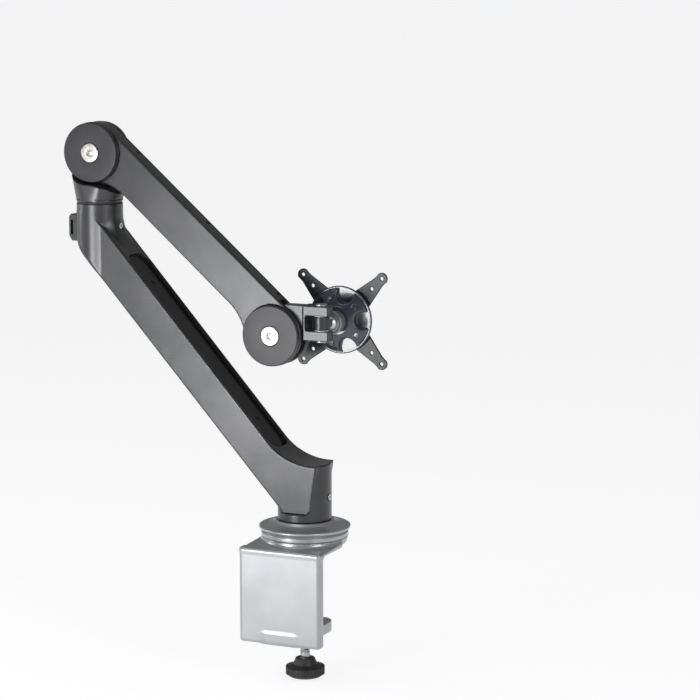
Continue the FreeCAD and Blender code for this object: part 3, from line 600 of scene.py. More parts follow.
def knuckle(x, y, z):
    """The elbow knuckle: a flared cup on the socket, saddled for the arm's round end."""
    up = z - SEAM_Z
    cup_rad = 27.6 + 0.167 * np.maximum(up - 3.0, 0)
    cup = rounded_pair(np.hypot(x - SOCKET_X, y) - cup_rad, np.abs(z - SEAM_Z - 22.5) - 21.0, 1.0)
    cup = keep_common(cup, np.abs(y) - 27.4, 2.5)
    u, n = along_arm(x, z)
    tipped = math.radians(2.6)
    ur, nr = u * math.cos(tipped) - n * math.sin(tipped), u * math.sin(tipped) + n * math.cos(tipped)
    saddle = np.minimum(outline_2d(u, n, ARM_SIDE), outline_2d(ur, nr, ARM_SIDE)) - 1.2
    cup = cut_out(cup, saddle, 0.9)
    ring = rounded_pair(np.abs(np.hypot(x - SOCKET_X, y) - 28.0) - 0.55, np.abs(up - 4.6) - 0.35, 0.2)
    cup = cut_out(cup, ring, 0.3)
    tab = brick(x, y, z, (ELBOW_X - 15, TAB_BACK, SEAM_Z + 4), (ELBOW_X + 15, TAB_FRONT, ELBOW_Z), 0.8)
    tab = np.minimum(tab, post(x, z, y, ELBOW_X, ELBOW_Z, 20.0, TAB_BACK, TAB_FRONT, 0.8))
    body = blend_in(cup, tab, 1.5)
    return cut_out(body, post(x, y, z, SOCKET_X, 0, 11.0, SEAM_Z - 5, SEAM_Z + 12, 0.1), 0.3)


def housing(u, y, n):
    """The upper arm's housing, in the arm's own directions: two cheeks over a closed underside."""
    body = rounded_pair(outline_2d(u, n, ARM_SIDE), np.abs(y) - ARM_HALF, SHAPE["edge"])
    inside = np.maximum(np.abs(y) - CHEEK_HALF, -(n + 6.6))
    ends = np.maximum(np.abs(y) - CHEEK_HALF, np.minimum(u - 62.0, ARM_LONG - 62.0 - u))
    body = cut_out(body, np.minimum(inside, ends), 0.8)
    rim = np.minimum(np.hypot(u, n), np.hypot(u - ARM_LONG, n))
    body = cut_out(body, rounded_pair(np.abs(rim - 35.2) - 0.7, np.abs(np.abs(y) - 11.2) - 0.9, 0.3), 0.5)
    rib = brick(u, y, n, (252, -8.0, -8), (257, 3.4, 20), 0.5)
    body = np.minimum(body, rib)
    bore = np.minimum(post(u, n, y, 0, 0, 7.05, -30, 30, 0.1), post(u, n, y, ARM_LONG, 0, 7.05, -30, 30, 0.1))
    body = cut_out(body, bore, 0.3)
    return cut_out(body, post(y, n, u, -2.4, 8.0, 3.1, 245, 265, 0.1), 0.2)


def top_strip(u, y, n):
    """The strip that closes the top of the upper arm and wraps round its elbow end."""
    strip = rounded_pair(np.abs(n - 34.1) - 1.6, np.maximum(np.abs(y) - STRIP_HALF, np.abs(u - 144.5) - 144.5), 0.5)
    ring = rounded_pair(np.abs(np.hypot(u, n) - 34.1) - 1.6, np.abs(y) - STRIP_HALF, 0.5)
    ring = keep_common(ring, np.maximum(u - 0.5, u * 0.225 - n * 0.974), 0.3)
    body = np.minimum(strip, ring)
    seam = rounded_pair(np.abs(u - 54.0) - 0.35, np.abs(n - 36.0) - 0.9, 0.1)
    body = cut_out(body, seam, 0.2)
    for run in STRIP_SCREWS:
        body = cut_out(body, post(u, y, n, run, STRIP_SCREW_Y, 2.95, 34.2, 40.0, 0.1), 0.2)
    return body


def wrist_block(x, y, z):
    """The wrist bracket: a hub between the cheeks, a neck and a square fork open to the front."""
    head = brick(x, y, z, (WRIST_X + 38.2, -10.0, FORK_Z - 20.5), (PAN_X + 12.2, 10.0, FORK_Z + 20.5), 1.3)
    far_corner = np.hypot(np.maximum(x - PAN_X - 5.2, 0), np.maximum(y - 3.0, 0)) - 7.0
    head = np.where((x > PAN_X + 5.2) & (y > 3.0), np.maximum(head, far_corner), head)
    neck = brick(x, y, z, (WRIST_X + 13, -7.2, FORK_Z - 19.9), (WRIST_X + 40, 7.0, FORK_Z + 20.1), 1.0)
    hub = post(x, z, y, WRIST_X, WRIST_Z, 20.0, TAB_BACK, TAB_FRONT, 1.0)
    bridge = brick(x, y, z, (WRIST_X, TAB_BACK, WRIST_Z - 8), (WRIST_X + 15, TAB_FRONT, FORK_Z + 12), 1.0)
    body = blend_in(blend_in(head, neck, 2.0), np.minimum(hub, bridge), 2.0)
    room = brick(x, y, z, (WRIST_X - 18, 4.0, WRIST_Z + 4), (WRIST_X + 18, 30, WRIST_Z + 28), 1.5)
    body = cut_out(body, room, 0.5)
    slot = rounded_pair(slab_2d(x, z, PAN_X + 11.6, FORK_Z, 28.4, 8.8, 2.5), np.abs(y) - 40.0, 0.2)
    body = cut_out(body, slot, 0.6)
    body = cut_out(body, post(x, y, z, PAN_X, 0, 4.05, FORK_Z - 40, FORK_Z + 40, 0.1), 0.3)
    return cut_out(body, post(x, z, y, WRIST_X, WRIST_Z, 7.02, -30, 30, 0.1), 0.3)


def head_tongue(x, y, z):
    """The tongue: an upright pan barrel with a neck that carries the ball."""
    barrel = post(x, y, z, PAN_X, 0, 9.5, FORK_Z - 7.8, FORK_Z + 7.8, 1.2)
    neck = post(x, z, y, PAN_X, HEAD_Z, 5.0, 10.0, BALL_Y - 7.0, 0.5)
    arm = brick(x, y, z, (PAN_X - 5, 0, HEAD_Z - 4.5), (PAN_X + 5, BALL_Y - 14.0, HEAD_Z + 5), 2.0)
    body = blend_in(blend_in(barrel, arm, 3.0), neck, 2.0)
    ball = np.sqrt((x - PAN_X) ** 2 + (y - BALL_Y) ** 2 + (z - HEAD_Z) ** 2) - 10.02
    body = cut_out(body, ball, 0.2)
    return cut_out(body, post(x, y, z, PAN_X, 0, 4.05, FORK_Z - 20, FORK_Z + 20, 0.1), 0.3)


def hand_knob(x, y, z):
    """The hand knob: a round flange with a star of five rounded lobes and open pockets."""
    u, v, w = x - PAN_X, z - HEAD_Z, y - BALL_Y
    rad, turn = np.hypot(u, v), np.arctan2(v, u)
    front = np.interp(rad, [12, 17, 24, 31, 36, 38], [12.2, 12.4, 14.0, 16.2, 18.6, 20.6])
    star = rounded_pair(rad - 37.4, np.maximum((front - w) * 0.93, w - 23.4), 2.2)
    step = 2 * math.pi / 5
    near = (turn - math.radians(3.0) + step / 2) % step - step / 2
    pocket = np.hypot(rad * np.cos(near) - 32.0, rad * np.sin(near)) - 10.4
    pocket = rounded_pair(pocket, np.abs(w - 12.0) - 11.2, 1.5)
    star = cut_out(star, pocket, 2.4)
    dish = np.abs(rad - 27.5) - 3.2
    cheek = (turn - math.radians(39.0) + step / 2) % step - step / 2
    groove = rounded_pair(np.hypot(rad * np.cos(cheek) - 28.0, rad * np.sin(cheek)) - 3.4,
                          np.abs(w - 13.2) - 2.6, 1.2)
    star = cut_out(star, np.maximum(groove, dish), 1.2)
    rim = rounded_pair(rad - 39.9, np.abs(w - 24.8) - 1.8, 1.2)
    body = blend_in(star, rim, 1.0)
    boss = post(u, v, w, 0, 0, 16.6, 12.1, 24.0, 1.0)
    body = blend_in(body, boss, 2.0)
    return cut_out(body, post(u, v, w, 0, 0, 12.1, 0, 40, 0.1), 0.4)


def mounting_plate(x, y, z):
    """The X-shaped plate: four legs that widen to a round middle, with two squares of holes."""
    u, v, w = x - PAN_X, z - HEAD_Z, y - PLATE_Y
    a, b = (u + v) / math.sqrt(2), (v - u) / math.sqrt(2)
    half = np.hypot(50.0, 50.0)
    flat = np.hypot(u, v) - 30.0
    for s, t in ((a, b), (b, a)):
        wide = np.interp(np.abs(s), [20, half - 6, half + 20], [15.5, 6.6, 6.6])
        leg = np.where(np.abs(s) > half, np.hypot(np.abs(s) - half, t) - 7.0,
                       np.maximum((np.abs(t) - wide) * 0.98, np.abs(s) - half - 1))
        flat = blend_in(flat, leg, 5.0)
    body = rounded_pair(flat, np.abs(w + 1.5) - 1.5, 0.5)
    for size in (50.0, 37.5):
        hole = np.hypot(np.abs(u) - size, np.abs(v) - size) - 2.25
        body = cut_out(body, np.maximum(hole, np.abs(w) - 9), 0.3)
    rib = rounded_pair(np.abs(np.hypot(u, v) - 27.0) - 1.0, np.abs(w + 2.9) - 0.3, 0.2)
    body = cut_out(body, rib, 0.3)
    body = cut_out(body, np.hypot(u, v) - 8.15, 0.3)
    return cut_out(body, np.maximum(np.hypot(u, v) - 10.8, -w - 1.9), 0.2)


def clamp_body(x, y, z):
    """The clamp: a broad spine, a deck that swells into a round bowl, and the lower jaw."""
    spine = rounded_pair(slab_2d(x, y, 0, -64.0, 51.0, 7.0, 4.0), np.abs(z + 48.5) - 55.5, 3.2)
    deck = brick(x, y, z, (-51, -68, 2.02), (51, -6, 8.0), 2.0)
    tilt = (z - 5.2) - (y + 71.0) * 0.05
    deck = keep_common(deck, tilt, 1.5)
    rad = np.hypot(x, y)
    bowl_rad = np.interp(z, [2, 4, 6.5, 9, 12], [45.0, 48.0, 49.4, 50.0, 50.2])
    bowl = rounded_pair(rad - bowl_rad, np.abs(z - 7.0) - 4.98, 0.6)
    body = blend_in(blend_in(spine, deck, 5.0), bowl, 5.0)
    body = np.maximum(body, np.where((np.abs(x) < 60) & (y > -56.8), 2.02 - z, -50.0))
    jaw = rounded_pair(slab_2d(x, y, 0, -25.0, 30.0, 45.0, 14.0), np.abs(z + 97.0) - 7.0, 2.0)
    boss = post(x, y, z, 0, 0, 16.0, -106, -84, 1.6)
    web = rounded_pair(outline_2d(y, z, [(-58, -92), (-58, -62), (-55, -62), (-28, -89), (-28, -92)]),
                       np.abs(x) - 5.0, 1.2)
    body = blend_in(body, blend_in(blend_in(jaw, boss, 3.0), web, 3.0), 4.0)
    body = cut_out(body, post(x, y, z, 0, 0, 6.15, -120, -70, 0.1), 0.6)
    body = cut_out(body, post(x, y, z, 0, 0, 9.2, -5, 7.1, 0.1), 0.3)
    body = cut_out(body, post(x, y, z, 0, 0, 15.0, 12.0, 20, 0.1), 0.1)
    for k in range(3):
        a = math.radians(90 + 120 * k)
        body = cut_out(body, post(x, y, z, 36 * math.cos(a), 36 * math.sin(a), 5.0, -5, 5.2, 0.1), 0.3)
    return body


def side_catch(x, y, z):
    """The cable catch on the side of the upper socket: a hollow tapered clip."""
    flat = outline_2d(x, z, [(-305.0, 371.5), (-302.5, 375.0), (-290.5, 375.0), (-290.5, 343.0), (-301.0, 343.0),
                             (-305.0, 349.0)])
    body = rounded_pair(flat, np.abs(y) - 8.5, 1.2)
    body = cut_out(body, brick(x, y, z, (-302.4, -20, 351), (-299.4, 20, 368), 0.6), 0.3)
    return cut_out(body, np.hypot(x - SOCKET_X, y) - 27.55, 0.2)


def channel_strip(s, y, up):
    """The gloss cover lying in the lower arm's channel, in the beam's own directions."""
    depth = -up
    flat = slab_2d(s, y, 119.0, 0.0, 144.6, 21.6, 15.6)
    body = rounded_pair(flat, np.abs(depth - 5.1) - 0.75, 0.4)
    for run in COVER_SCREWS:
        body = cut_out(body, post(s, y, depth, run, 0.0, 2.9, 2.0, 5.1, 0.1), 0.2)
    return body


SHAPE = {"edge": 1.8, "step": 1.5}


# ------------------------------------------------------------------ geometry node tools
def new_tree(name, sizes):
    """A geometry node tree with named float inputs, its input node and its output node."""
    tree = bpy.data.node_groups.new(name, "GeometryNodeTree")
    tree.interface.new_socket("Geometry", in_out="OUTPUT", socket_type="NodeSocketGeometry")
    for label, kind, value in sizes:
        socket = tree.interface.new_socket(label, in_out="INPUT", socket_type=kind)
        if value is not None:
            socket.default_value = value
    return tree, add_node(tree, "NodeGroupInput"), add_node(tree, "NodeGroupOutput")


def close_tree(tree, end, geometry, finish):
    """Instances made real, the finish set, and the result sent out."""
    real = add_node(tree, "GeometryNodeRealizeInstances", links={"Geometry": geometry})
    smooth = add_node(tree, "GeometryNodeSetShadeSmooth", links={"Geometry": real.outputs["Geometry"]})
    dressed = add_node(tree, "GeometryNodeSetMaterial", {"Material": FINISH[finish]},
                       {"Geometry": smooth.outputs[0]})
    tree.links.new(dressed.outputs["Geometry"], end.inputs[0])


def grown(name, tree, values, sharp=35.0):
    """Run a tree on an empty mesh and keep the result as one plain mesh."""
    host = bpy.data.objects.new(name + "_host", bpy.data.meshes.new(name + "_host"))
    bpy.context.scene.collection.objects.link(host)
    modifier = host.modifiers.new(name, "NODES")
    modifier.node_group = tree
    for socket in tree.interface.items_tree:
        if getattr(socket, "in_out", "") == "INPUT" and socket.name in values:
            modifier[socket.identifier] = values[socket.name]
    ready = host.evaluated_get(bpy.context.evaluated_depsgraph_get())
    mesh = bpy.data.meshes.new_from_object(ready)
    host.modifiers.remove(modifier)
    bpy.data.objects.remove(host)
    mesh.name = name
    piece = bpy.data.objects.new(name, mesh)
    bpy.context.scene.collection.objects.link(piece)
    if not mesh.vertices:
        raise RuntimeError(name + " came out empty")
    weld(piece, sharp=sharp)
    return piece


def template(name, points, faces, finish):
    """A mesh that a tree instances; it is removed once the tree has run."""
    source = mesh_object(name, points, faces, finish)
    weld(source)
    return source


def screws(name, spots, source, finish):
    """One screw at every spot, by geometry nodes: spots are (point in mm, turn in degrees) pairs."""
    points = bpy.data.meshes.new(name + "_spots")
    points.from_pydata([tuple(c * MM for c in spot) for spot, _ in spots], [], [])
    spin = points.attributes.new("turn", "FLOAT_VECTOR", "POINT")
    spin.data.foreach_set("vector", [a for _, turn in spots for a in turn])
    base = bpy.data.objects.new(name + "_spots", points)
    bpy.context.scene.collection.objects.link(base)
    tree, start, end = new_tree(name + " tree", [("Spots", "NodeSocketObject", None),
                                                 ("Screw", "NodeSocketObject", None),
                                                 ("Size", "NodeSocketFloat", 1.0)])
    where = add_node(tree, "GeometryNodeObjectInfo", links={"Object": start.outputs["Spots"]})
    one = add_node(tree, "GeometryNodeObjectInfo", links={"Object": start.outputs["Screw"]})
    angle = add_node(tree, "GeometryNodeInputNamedAttribute", {"data_type": "FLOAT_VECTOR", "Name": "turn"})
    turn = add_node(tree, "FunctionNodeEulerToRotation", links={"Euler": angle.outputs["Attribute"]})
    put = add_node(tree, "GeometryNodeInstanceOnPoints",
                   links={"Points": where.outputs["Geometry"], "Instance": one.outputs["Geometry"],
                          "Rotation": turn.outputs["Rotation"], "Scale": start.outputs["Size"]})
    close_tree(tree, end, put.outputs["Instances"], finish)
    piece = grown(name, tree, {"Spots": base, "Screw": source, "Size": 1.0})
    bpy.data.objects.remove(base)
    return piece


def socket_screw(name, rad, flat, depth, low, top, shank, shank_low, finish):
    """A socket-head screw along +Z: shank, round head with a soft rim, and its six-sided pocket."""
    points, faces, count = [], [], 24
    edge = min(0.35, rad * 0.12)
    rings = [(0.0, top - depth, False), (flat, top - depth, True), (flat, top, True), (rad - edge, top, False),
             (rad, top - edge, False), (rad, low, False), (shank, low, False), (shank, shank_low + 0.5, False),
             (shank - 0.4, shank_low, False), (0.0, shank_low, False)]
    for size, level, six in rings:
        for k in range(count):
            turn = 2 * math.pi * k / count
            grow = size / math.cos((turn + math.pi / 6) % (math.pi / 3) - math.pi / 6) if six else size
            points.append((grow * math.cos(turn), grow * math.sin(turn), level))
    for ring in range(len(rings) - 1):
        for k in range(count):
            a, b = ring * count + k, ring * count + (k + 1) % count
            faces.append((a, b, b + count, a + count))
    return template(name, points, faces, finish)


def dress(node, finish):
    """Give a CAD node that stays a procedural finish in all its slots."""
    shown = frame["nodes"][node]
    if not shown.material_slots:
        shown.data.materials.append(FINISH[finish])
    for place in shown.material_slots:
        place.material = FINISH[finish]


# ------------------------------------------------------------------ operators
class FinishesOperator(bpy.types.Operator):
    """Mix every finish and dress the inner parts that keep their CAD shape"""

    bl_idname = "monitor_arm.finishes"
    bl_label = "Finishes and inner parts"

    def execute(self, context):
        shape = context.scene.monitor_arm_shape
        SHAPE["edge"], SHAPE["step"] = shape.edge_round, shape.casting_step
        make_finishes(context.scene.monitor_arm_finish)
        kept = {
            "steel": ["base_post", "post_bolt", "elbow_post", "post_clip", "rod_pin_elbow",
                      "rod_pin_wrist", "gas_rod", "tension_screw", "levelling_rod", "pan_pin", "tilt_ball",
                      "friction_washer", "hub_screw", "friction_screws", "clamp_pad_disc"],
            "dark steel": ["elbow_axle", "wrist_axle"],
            "rubber": ["desk_pad", "clamp_pad_rubber"],
            "cover": ["gas_cylinder"],
            "knob": ["elbow_washer"],
            "bush": ["base_bush_lower", "base_bush_upper", "elbow_bush", "pan_washers"],
            "cast": ["spring_carriage", "anchor_block"],
            "brass": ["knob_insert"],
        }
        for finish, nodes in kept.items():
            for node in nodes:
                dress(node, finish)
        return {"FINISHED"}


class ClampOperator(bpy.types.Operator):
    """Cast the desk clamp with its deck and bowl"""

    bl_idname = "monitor_arm.clamp"
    bl_label = "Desk clamp"

    def execute(self, context):
        cast("clamp_casting", "clamp_bracket", clamp_body, 1.9, 1.0, "silver")
        return {"FINISHED"}


class BaseOperator(bpy.types.Operator):
    """Turn the base ring and the bell-shaped flange under the lower socket"""

    bl_idname = "monitor_arm.base"
    bl_label = "Base flange"

    def execute(self, context):
        ring = [(15.1, 12.0)] + soften([(49.7, 12.0), (50.8, 13.2), (50.8, 17.2), (49.2, 18.5)], [0, 0.6, 0.8, 0])
        fit_in(lathe("base_plinth", ring + [(15.1, 18.5)], (0, 0, 0), "Z", "silver", 160), "base_ring")
        bell = soften([(49.2, 18.5), (53.3, 21.6), (53.3, 24.2), (50.8, 24.9), (43.5, 25.8), (36.6, 28.2),
                       (34.2, 31.2)], [0, 2.0, 1.2, 3.0, 14.0, 9.0, 0], 7)
        fit_in(lathe("base_bell", [(15.1, 18.5)] + bell + [(15.1, 31.2)], (0, 0, 0), "Z", "silver", 160),
               "base_flange")
        return {"FINISHED"}


class LowerArmOperator(bpy.types.Operator):
    """Cast the lower arm and lay its channel cover and cable catch"""

    bl_idname = "monitor_arm.lower_arm"
    bl_label = "Lower arm"

    def execute(self, context):
        cast("lower_arm_shell", "lower_arm_casting", lower_arm, 2.1, 0.9, "graphite")
        piece = skin("channel_lid", channel_strip, (-27.6, -23.6, -7.5), (265.8, 23.6, -2.5), SHAPE["step"] * 0.4,
                     "cover", ON_BEAM)
        fit_in(piece, "channel_cover")
        cast("cable_clip", "cable_catch", side_catch, 1.2, 0.5, "graphite")
        return {"FINISHED"}


class KnuckleOperator(bpy.types.Operator):
    """Cast the saddled elbow knuckle"""

    bl_idname = "monitor_arm.knuckle"
    bl_label = "Elbow knuckle"

    def execute(self, context):
        cast("elbow_saddle", "elbow_knuckle", knuckle, 1.9, 0.7, "graphite")
        return {"FINISHED"}


class UpperArmOperator(bpy.types.Operator):
    """Cast the upper arm's housing and its top strip"""

    bl_idname = "monitor_arm.upper_arm"
    bl_label = "Upper arm"

    def execute(self, context):
        piece = skin("arm_shell", housing, (-38, -13, -38), (ARM_LONG + 38, 13, 38), SHAPE["step"] * 0.8,
                     "graphite", ON_ARM)
        fit_in(piece, "arm_housing")
        piece = skin("arm_top_strip", top_strip, (-38, -9, -10), (292, 9, 38), SHAPE["step"] * 0.6,
                     "graphite", ON_ARM)
        fit_in(piece, "top_cover")
        return {"FINISHED"}


class DiscsOperator(bpy.types.Operator):
    """Turn the four side discs and the four dished caps"""

    bl_idname = "monitor_arm.discs"
    bl_label = "Discs and caps"

    def execute(self, context):
        disc = soften([(11.6, 11.3), (31.5, 11.3), (31.5, 12.7), (35.4, 12.7), (35.4, 17.5), (12.1, 17.5),
                       (11.6, 17.0)], [0, 0, 0.4, 0.7, 1.5, 0.3, 0.3], 6)
        cap = soften([(5.2, 12.2), (5.2, 13.4), (11.3, 13.4), (11.3, 18.3), (4.6, 18.3), (3.0, 17.4)],
                     [0, 0, 0, 0.8, 0.5, 0.8], 5)
        for stem, x, z in (("elbow", ELBOW_X, ELBOW_Z), ("wrist", WRIST_X, WRIST_Z)):
            for side, sign in (("near", -1), ("far", 1)):
                outline = [(rad, sign * run) for rad, run in disc]
                piece = lathe(f"{stem}_disc_{side}_cover", outline, (x, 0, z), "Y", "disc", 144)
                fit_in(piece, f"{stem}_disc_{side}")
                outline = [(rad, sign * run) for rad, run in [(0.0, 12.2)] + cap + [(0.0, 17.3)]]
                piece = lathe(f"{stem}_cap_{side}_turned", outline, (x, 0, z), "Y", "caps", 72)
                fit_in(piece, f"{stem}_cap_{side}")
        return {"FINISHED"}


class WristOperator(bpy.types.Operator):
    """Cast the wrist bracket with its open fork"""

    bl_idname = "monitor_arm.wrist"
    bl_label = "Wrist bracket"

    def execute(self, context):
        cast("wrist_fork", "wrist_bracket", wrist_block, 1.1, 0.55, "graphite")
        return {"FINISHED"}


class HeadOperator(bpy.types.Operator):
    """Form the pan tongue and the collar that grips the tilt ball"""

    bl_idname = "monitor_arm.head"
    bl_label = "Pan tongue and tilt collar"

    def execute(self, context):
        cast("pan_barrel", "pan_tongue", head_tongue, 1.0, 0.4, "tongue")
        collar = [(8.6, 0.5), (8.9, -5.6)] + soften([(11.8, -5.6), (14.3, -4.4), (14.3, -0.4), (12.7, 0.8),
                                                     (12.7, 10.6), (12.0, 11.3)], [0.8, 1.2, 0.8, 0.8, 0.6, 0], 5)
        collar += [(8.0, 11.3), (8.0, 30.0), (3.05, 30.0), (3.05, 14.5), (0.0, 14.5), (0.0, 10.1), (5.0, 8.75),
                   (8.0, 6.1), (9.6, 3.0)]
        piece = lathe("tilt_collar", collar, (PAN_X, BALL_Y, HEAD_Z), "Y", "collar", 96)
        fit_in(piece, "tilt_socket")
        return {"FINISHED"}


class HandKnobOperator(bpy.types.Operator):
    """Mould the star-shaped hand knob on its round flange"""

    bl_idname = "monitor_arm.hand_knob"
    bl_label = "Hand knob"

    def execute(self, context):
        cast("star_knob", "hand_knob", hand_knob, 1.3, 0.5, "hub")
        return {"FINISHED"}


class PlateOperator(bpy.types.Operator):
    """Press the X-shaped mounting plate with its two squares of holes"""

    bl_idname = "monitor_arm.plate"
    bl_label = "Mounting plate"

    def execute(self, context):
        cast("cross_plate", "vesa_plate", mounting_plate, 1.0, 0.5, "plate")
        return {"FINISHED"}


class ClampScrewOperator(bpy.types.Operator):
    """Wind the clamp screw's thread and set the ribs round its knob"""

    bl_idname = "monitor_arm.clamp_screw"
    bl_label = "Clamp screw and knob"

    def execute(self, context):
        shape = context.scene.monitor_arm_shape
        (_, _, low), (_, _, high) = reach("clamp_screw")
        pitch = shape.thread_pitch / MM
        top = high - 5.5
        tree, start, end = new_tree("Clamp thread", [("Turns", "NodeSocketFloat", 20.0),
                                                     ("Length", "NodeSocketFloat", 0.1),
                                                     ("Radius", "NodeSocketFloat", 0.006)])
        helix = add_node(tree, "GeometryNodeCurveSpiral", {"Resolution": 28},
                         {"Rotations": start.outputs["Turns"], "Start Radius": start.outputs["Radius"],
                          "End Radius": start.outputs["Radius"], "Height": start.outputs["Length"]})
        ridge = add_node(tree, "GeometryNodeCurvePrimitiveCircle", {"Resolution": 4, "Radius": 1.15 * MM})
        wire = add_node(tree, "GeometryNodeCurveToMesh", {"Fill Caps": True},
                        {"Curve": helix.outputs["Curve"], "Profile Curve": ridge.outputs["Curve"]})
        core = add_node(tree, "GeometryNodeMeshCylinder", {"Vertices": 48, "Radius": 5.15 * MM},
                        {"Depth": start.outputs["Length"]})
        half_up = add_node(tree, "ShaderNodeMath", {"operation": "MULTIPLY", 1: 0.5},
                           {0: start.outputs["Length"]})
        lift = add_node(tree, "ShaderNodeCombineXYZ", links={"Z": half_up.outputs["Value"]})
        raised = add_node(tree, "GeometryNodeTransform",
                          links={"Geometry": core.outputs["Mesh"], "Translation": lift.outputs["Vector"]})
        both = add_node(tree, "GeometryNodeJoinGeometry")
        tree.links.new(wire.outputs["Mesh"], both.inputs["Geometry"])
        tree.links.new(raised.outputs["Geometry"], both.inputs["Geometry"])
        close_tree(tree, end, both.outputs["Geometry"], "steel")
        length = top - low - 4.0
        piece = grown("clamp_thread", tree, {"Turns": length / pitch, "Length": length * MM, "Radius": 4.85 * MM})
        piece.data.transform(Matrix.Translation((0, 0, (low + 2.0) * MM)))
        tip = lathe("clamp_screw_tip", [(0, top - 3.0), (5.1, top - 3.0), (5.1, top), (4.2, high), (0, high)],
                    (0, 0, 0), "Z", "steel", 48)
        fit_in(piece, "clamp_screw")
        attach(tip, BODY_OF["clamp_screw"])
        (_, _, low), (_, _, high) = reach("clamp_knob")
        ends = soften([(0, low + 1.2), (8.0, low + 1.2), (9.5, low), (18.6, low), (22.3, low + 3.2),
                       (22.3, low + 11.4), (14.2, low + 14.2), (11.2, high), (6.1, high), (6.1, low + 6.0),
                       (0, low + 6.0)], [0, 0.5, 0.8, 1.5, 1.5, 1.6, 2.5, 1.2, 0.4, 0, 0], 5)
        body = lathe("clamp_knob_body", ends, (0, 0, 0), "Z", "knob", 96)
        fit_in(body, "clamp_knob")
        rib = brick_points((-1.05, -0.9, low + 2.9), (1.05, 0.75, low + 11.9), 0.35)
        source = template("grip_rib", rib[0], rib[1], "knob")
        tree, start, end = new_tree("Grip ribs", [("Rib", "NodeSocketObject", None), ("Count", "NodeSocketInt", 36),
                                                  ("Radius", "NodeSocketFloat", 0.022)])
        ring = add_node(tree, "GeometryNodeMeshCircle", links={"Vertices": start.outputs["Count"],
                                                               "Radius": start.outputs["Radius"]})
        place = add_node(tree, "GeometryNodeInputPosition")
        face = add_node(tree, "FunctionNodeAlignRotationToVector", {"axis": "Y"},
                        {"Vector": place.outputs["Position"]})
        one = add_node(tree, "GeometryNodeObjectInfo", links={"Object": start.outputs["Rib"]})
        put = add_node(tree, "GeometryNodeInstanceOnPoints",
                       links={"Points": ring.outputs["Mesh"], "Instance": one.outputs["Geometry"],
                              "Rotation": face.outputs["Rotation"]})
        close_tree(tree, end, put.outputs["Instances"], "knob")
        grip = grown("clamp_knob_grip", tree, {"Rib": source, "Count": shape.grip_count, "Radius": 22.2 * MM})
        bpy.data.objects.remove(source)
        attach(grip, BODY_OF["clamp_knob"])
        return {"FINISHED"}


class ScrewsOperator(bpy.types.Operator):
    """Set the socket screws under the base, along the channel cover and along the top strip"""

    bl_idname = "monitor_arm.screws"
    bl_label = "Screws"

    def execute(self, context):
        source = socket_screw("base_screw", 4.5, 2.3, 2.2, 0.0, 2.9, 2.5, -18.4, "steel")
        spots = []
        for k in range(3):
            turn = math.radians(90 + 120 * k)
            spots.append(((36 * math.cos(turn), 36 * math.sin(turn), 5.1), (math.pi, 0.0, 0.0)))
        fit_in(screws("base_screw_set", spots, source, "steel"), "base_screws")
        bpy.data.objects.remove(source)
        source = socket_screw("cover_screw", 2.6, 1.3, 1.0, 0.0, 1.2, 1.1, -0.6, "dark steel")
        spots = []
        for run in COVER_SCREWS:
            x = TOP_A[0] + run * math.cos(LEAN) - 5.15 * math.sin(LEAN)
            z = TOP_A[1] - run * math.sin(LEAN) - 5.15 * math.cos(LEAN)
            spots.append(((x, 0.0, z), (0.0, LEAN, 0.0)))
        fit_in(screws("cover_screw_set", spots, source, "dark steel"), "cover_screws")
        bpy.data.objects.remove(source)
        source = socket_screw("strip_screw", 2.75, 1.35, 1.0, 34.25, 35.6, 1.5, 32.5, "dark steel")
        spots = []
        for run in STRIP_SCREWS:
            spot = ON_ARM[0] @ np.array([run, STRIP_SCREW_Y, 0.0]) + ON_ARM[1]
            spots.append((tuple(spot), (0.0, ARM_DROP, 0.0)))
        fit_in(screws("strip_screw_set", spots, source, "dark steel"), "top_cover_screws")
        bpy.data.objects.remove(source)
        return {"FINISHED"}


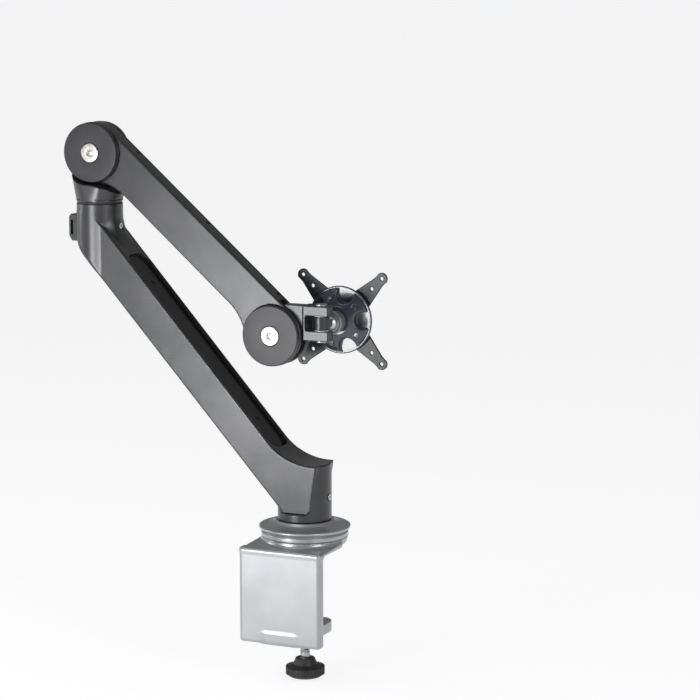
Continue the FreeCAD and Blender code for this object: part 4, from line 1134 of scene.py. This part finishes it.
class StageOperator(bpy.types.Operator):
    """Lay the pale floor, hang the soft lights and aim the camera"""

    bl_idname = "monitor_arm.stage"
    bl_label = "Floor, light and camera"

    def execute(self, context):
        scene = context.scene
        scene.view_settings.view_transform = "Standard"
        scene.view_settings.look = "None"
        world = bpy.data.worlds.new("pale studio")
        world.use_nodes = True
        scene.world = world
        sky = world.node_tree
        sky.nodes.clear()
        seen = add_node(sky, "ShaderNodeLightPath")
        open_sky = add_node(sky, "ShaderNodeBackground", {"Color": hex_linear("#F4F4F5"), "Strength": 1.0})
        soft_sky = add_node(sky, "ShaderNodeBackground", {"Color": hex_linear("#F4F4F5"), "Strength": 0.26})
        pick = add_node(sky, "ShaderNodeMixShader",
                        links={0: seen.outputs["Is Camera Ray"], 1: soft_sky.outputs[0], 2: open_sky.outputs[0]})
        add_node(sky, "ShaderNodeOutputWorld", links={"Surface": pick.outputs[0]})
        level = CAD_BOX[0][2] - 0.002
        mesh = bpy.data.meshes.new("floor")
        mesh.from_pydata([(-200, -200, level), (200, -200, level), (200, 200, level), (-200, 200, level)], [],
                         [(0, 1, 2, 3)])
        floor = bpy.data.objects.new("floor", mesh)
        scene.collection.objects.link(floor)
        pale, _, shader, _ = new_finish("pale studio floor")
        shader.inputs["Base Color"].default_value = hex_linear("#9A9A9B")
        shader.inputs["Roughness"].default_value = 0.8
        shader.inputs["Specular IOR Level"].default_value = 0.1
        shader.inputs["Emission Color"].default_value = hex_linear("#F4F4F5")
        shader.inputs["Emission Strength"].default_value = 0.9
        mesh.materials.append(pale)
        lamps = (("low key", (-0.52, -1.4, 0.03), 12, 0.5), ("fill", (1.9, -1.2, 0.8), 15, 0.8),
                 ("soft top", (-0.6, -1.2, 2.2), 8, 1.4), ("left", (-2.2, -0.5, 0.5), 8, 0.6))
        for name, spot, power, size in lamps:
            light = bpy.data.lights.new(name, "AREA")
            light.shape, light.size, light.energy = "SQUARE", size, power
            lamp = bpy.data.objects.new(name, light)
            lamp.location = spot
            lamp.rotation_mode = "QUATERNION"
            lamp.rotation_quaternion = (Vector((-0.1, 0, 0.2)) - Vector(spot)).to_track_quat("-Z", "Y")
            scene.collection.objects.link(lamp)
        camera = bpy.data.objects.new("camera", bpy.data.cameras.new("camera"))
        camera.data.lens, camera.data.sensor_width = 127.75, 36.0
        camera.data.clip_start, camera.data.clip_end = 0.1, 600
        camera.location = Vector((1198.0, -2560.2, 680.6)) * MM
        turn, dip = math.radians(24.01), math.radians(9.07)
        look = Vector((-math.sin(turn) * math.cos(dip), math.cos(turn) * math.cos(dip), -math.sin(dip)))
        camera.rotation_mode = "QUATERNION"
        camera.rotation_quaternion = look.to_track_quat("-Z", "Y")
        scene.collection.objects.link(camera)
        scene.camera = camera
        return {"FINISHED"}


def brick_points(lo, hi, edge):
    """Points and faces of a bar whose upright edges are chamfered."""
    flat = [(lo[0] + edge, lo[1]), (hi[0] - edge, lo[1]), (hi[0], lo[1] + edge), (hi[0], hi[1] - edge),
            (hi[0] - edge, hi[1]), (lo[0] + edge, hi[1]), (lo[0], hi[1] - edge), (lo[0], lo[1] + edge)]
    points = [(x, y, z) for z in (lo[2], hi[2]) for x, y in flat]
    count = len(flat)
    faces = [tuple(range(count))[::-1], tuple(range(count, 2 * count))]
    faces += [(i, (i + 1) % count, (i + 1) % count + count, i + count) for i in range(count)]
    return points, faces


STEPS = (FinishesOperator, ClampOperator, BaseOperator, LowerArmOperator, KnuckleOperator, UpperArmOperator,
         DiscsOperator, WristOperator, HeadOperator, HandKnobOperator, PlateOperator, ClampScrewOperator,
         ScrewsOperator, StageOperator)


class MonitorArmPanel(bpy.types.Panel):
    """The monitor arm's sizes, finishes and building steps"""

    bl_idname = "VIEW3D_PT_monitor_arm"
    bl_label = "Monitor Arm"
    bl_space_type = "VIEW_3D"
    bl_region_type = "UI"
    bl_category = "Monitor Arm"

    def draw(self, context):
        column = self.layout.column()
        for name in ("casting_step", "edge_round", "thread_pitch", "grip_count"):
            column.prop(context.scene.monitor_arm_shape, name)
        for name in ("graphite", "silver", "hub"):
            column.prop(context.scene.monitor_arm_finish, name)
        for step in STEPS:
            column.operator(step.bl_idname)


CLASSES = (MonitorArmShape, MonitorArmFinish) + STEPS + (MonitorArmPanel,)


def register():
    for item in CLASSES:
        bpy.utils.register_class(item)
    bpy.types.Scene.monitor_arm_shape = bpy.props.PointerProperty(type=MonitorArmShape)
    bpy.types.Scene.monitor_arm_finish = bpy.props.PointerProperty(type=MonitorArmFinish)


def unregister():
    del bpy.types.Scene.monitor_arm_finish
    del bpy.types.Scene.monitor_arm_shape
    for item in reversed(CLASSES):
        bpy.utils.unregister_class(item)


def main():
    """Build every piece and the stage."""
    register()
    for step in STEPS:
        area, name = step.bl_idname.split(".")
        getattr(getattr(bpy.ops, area), name)()


if __name__ == "__main__":
    main()
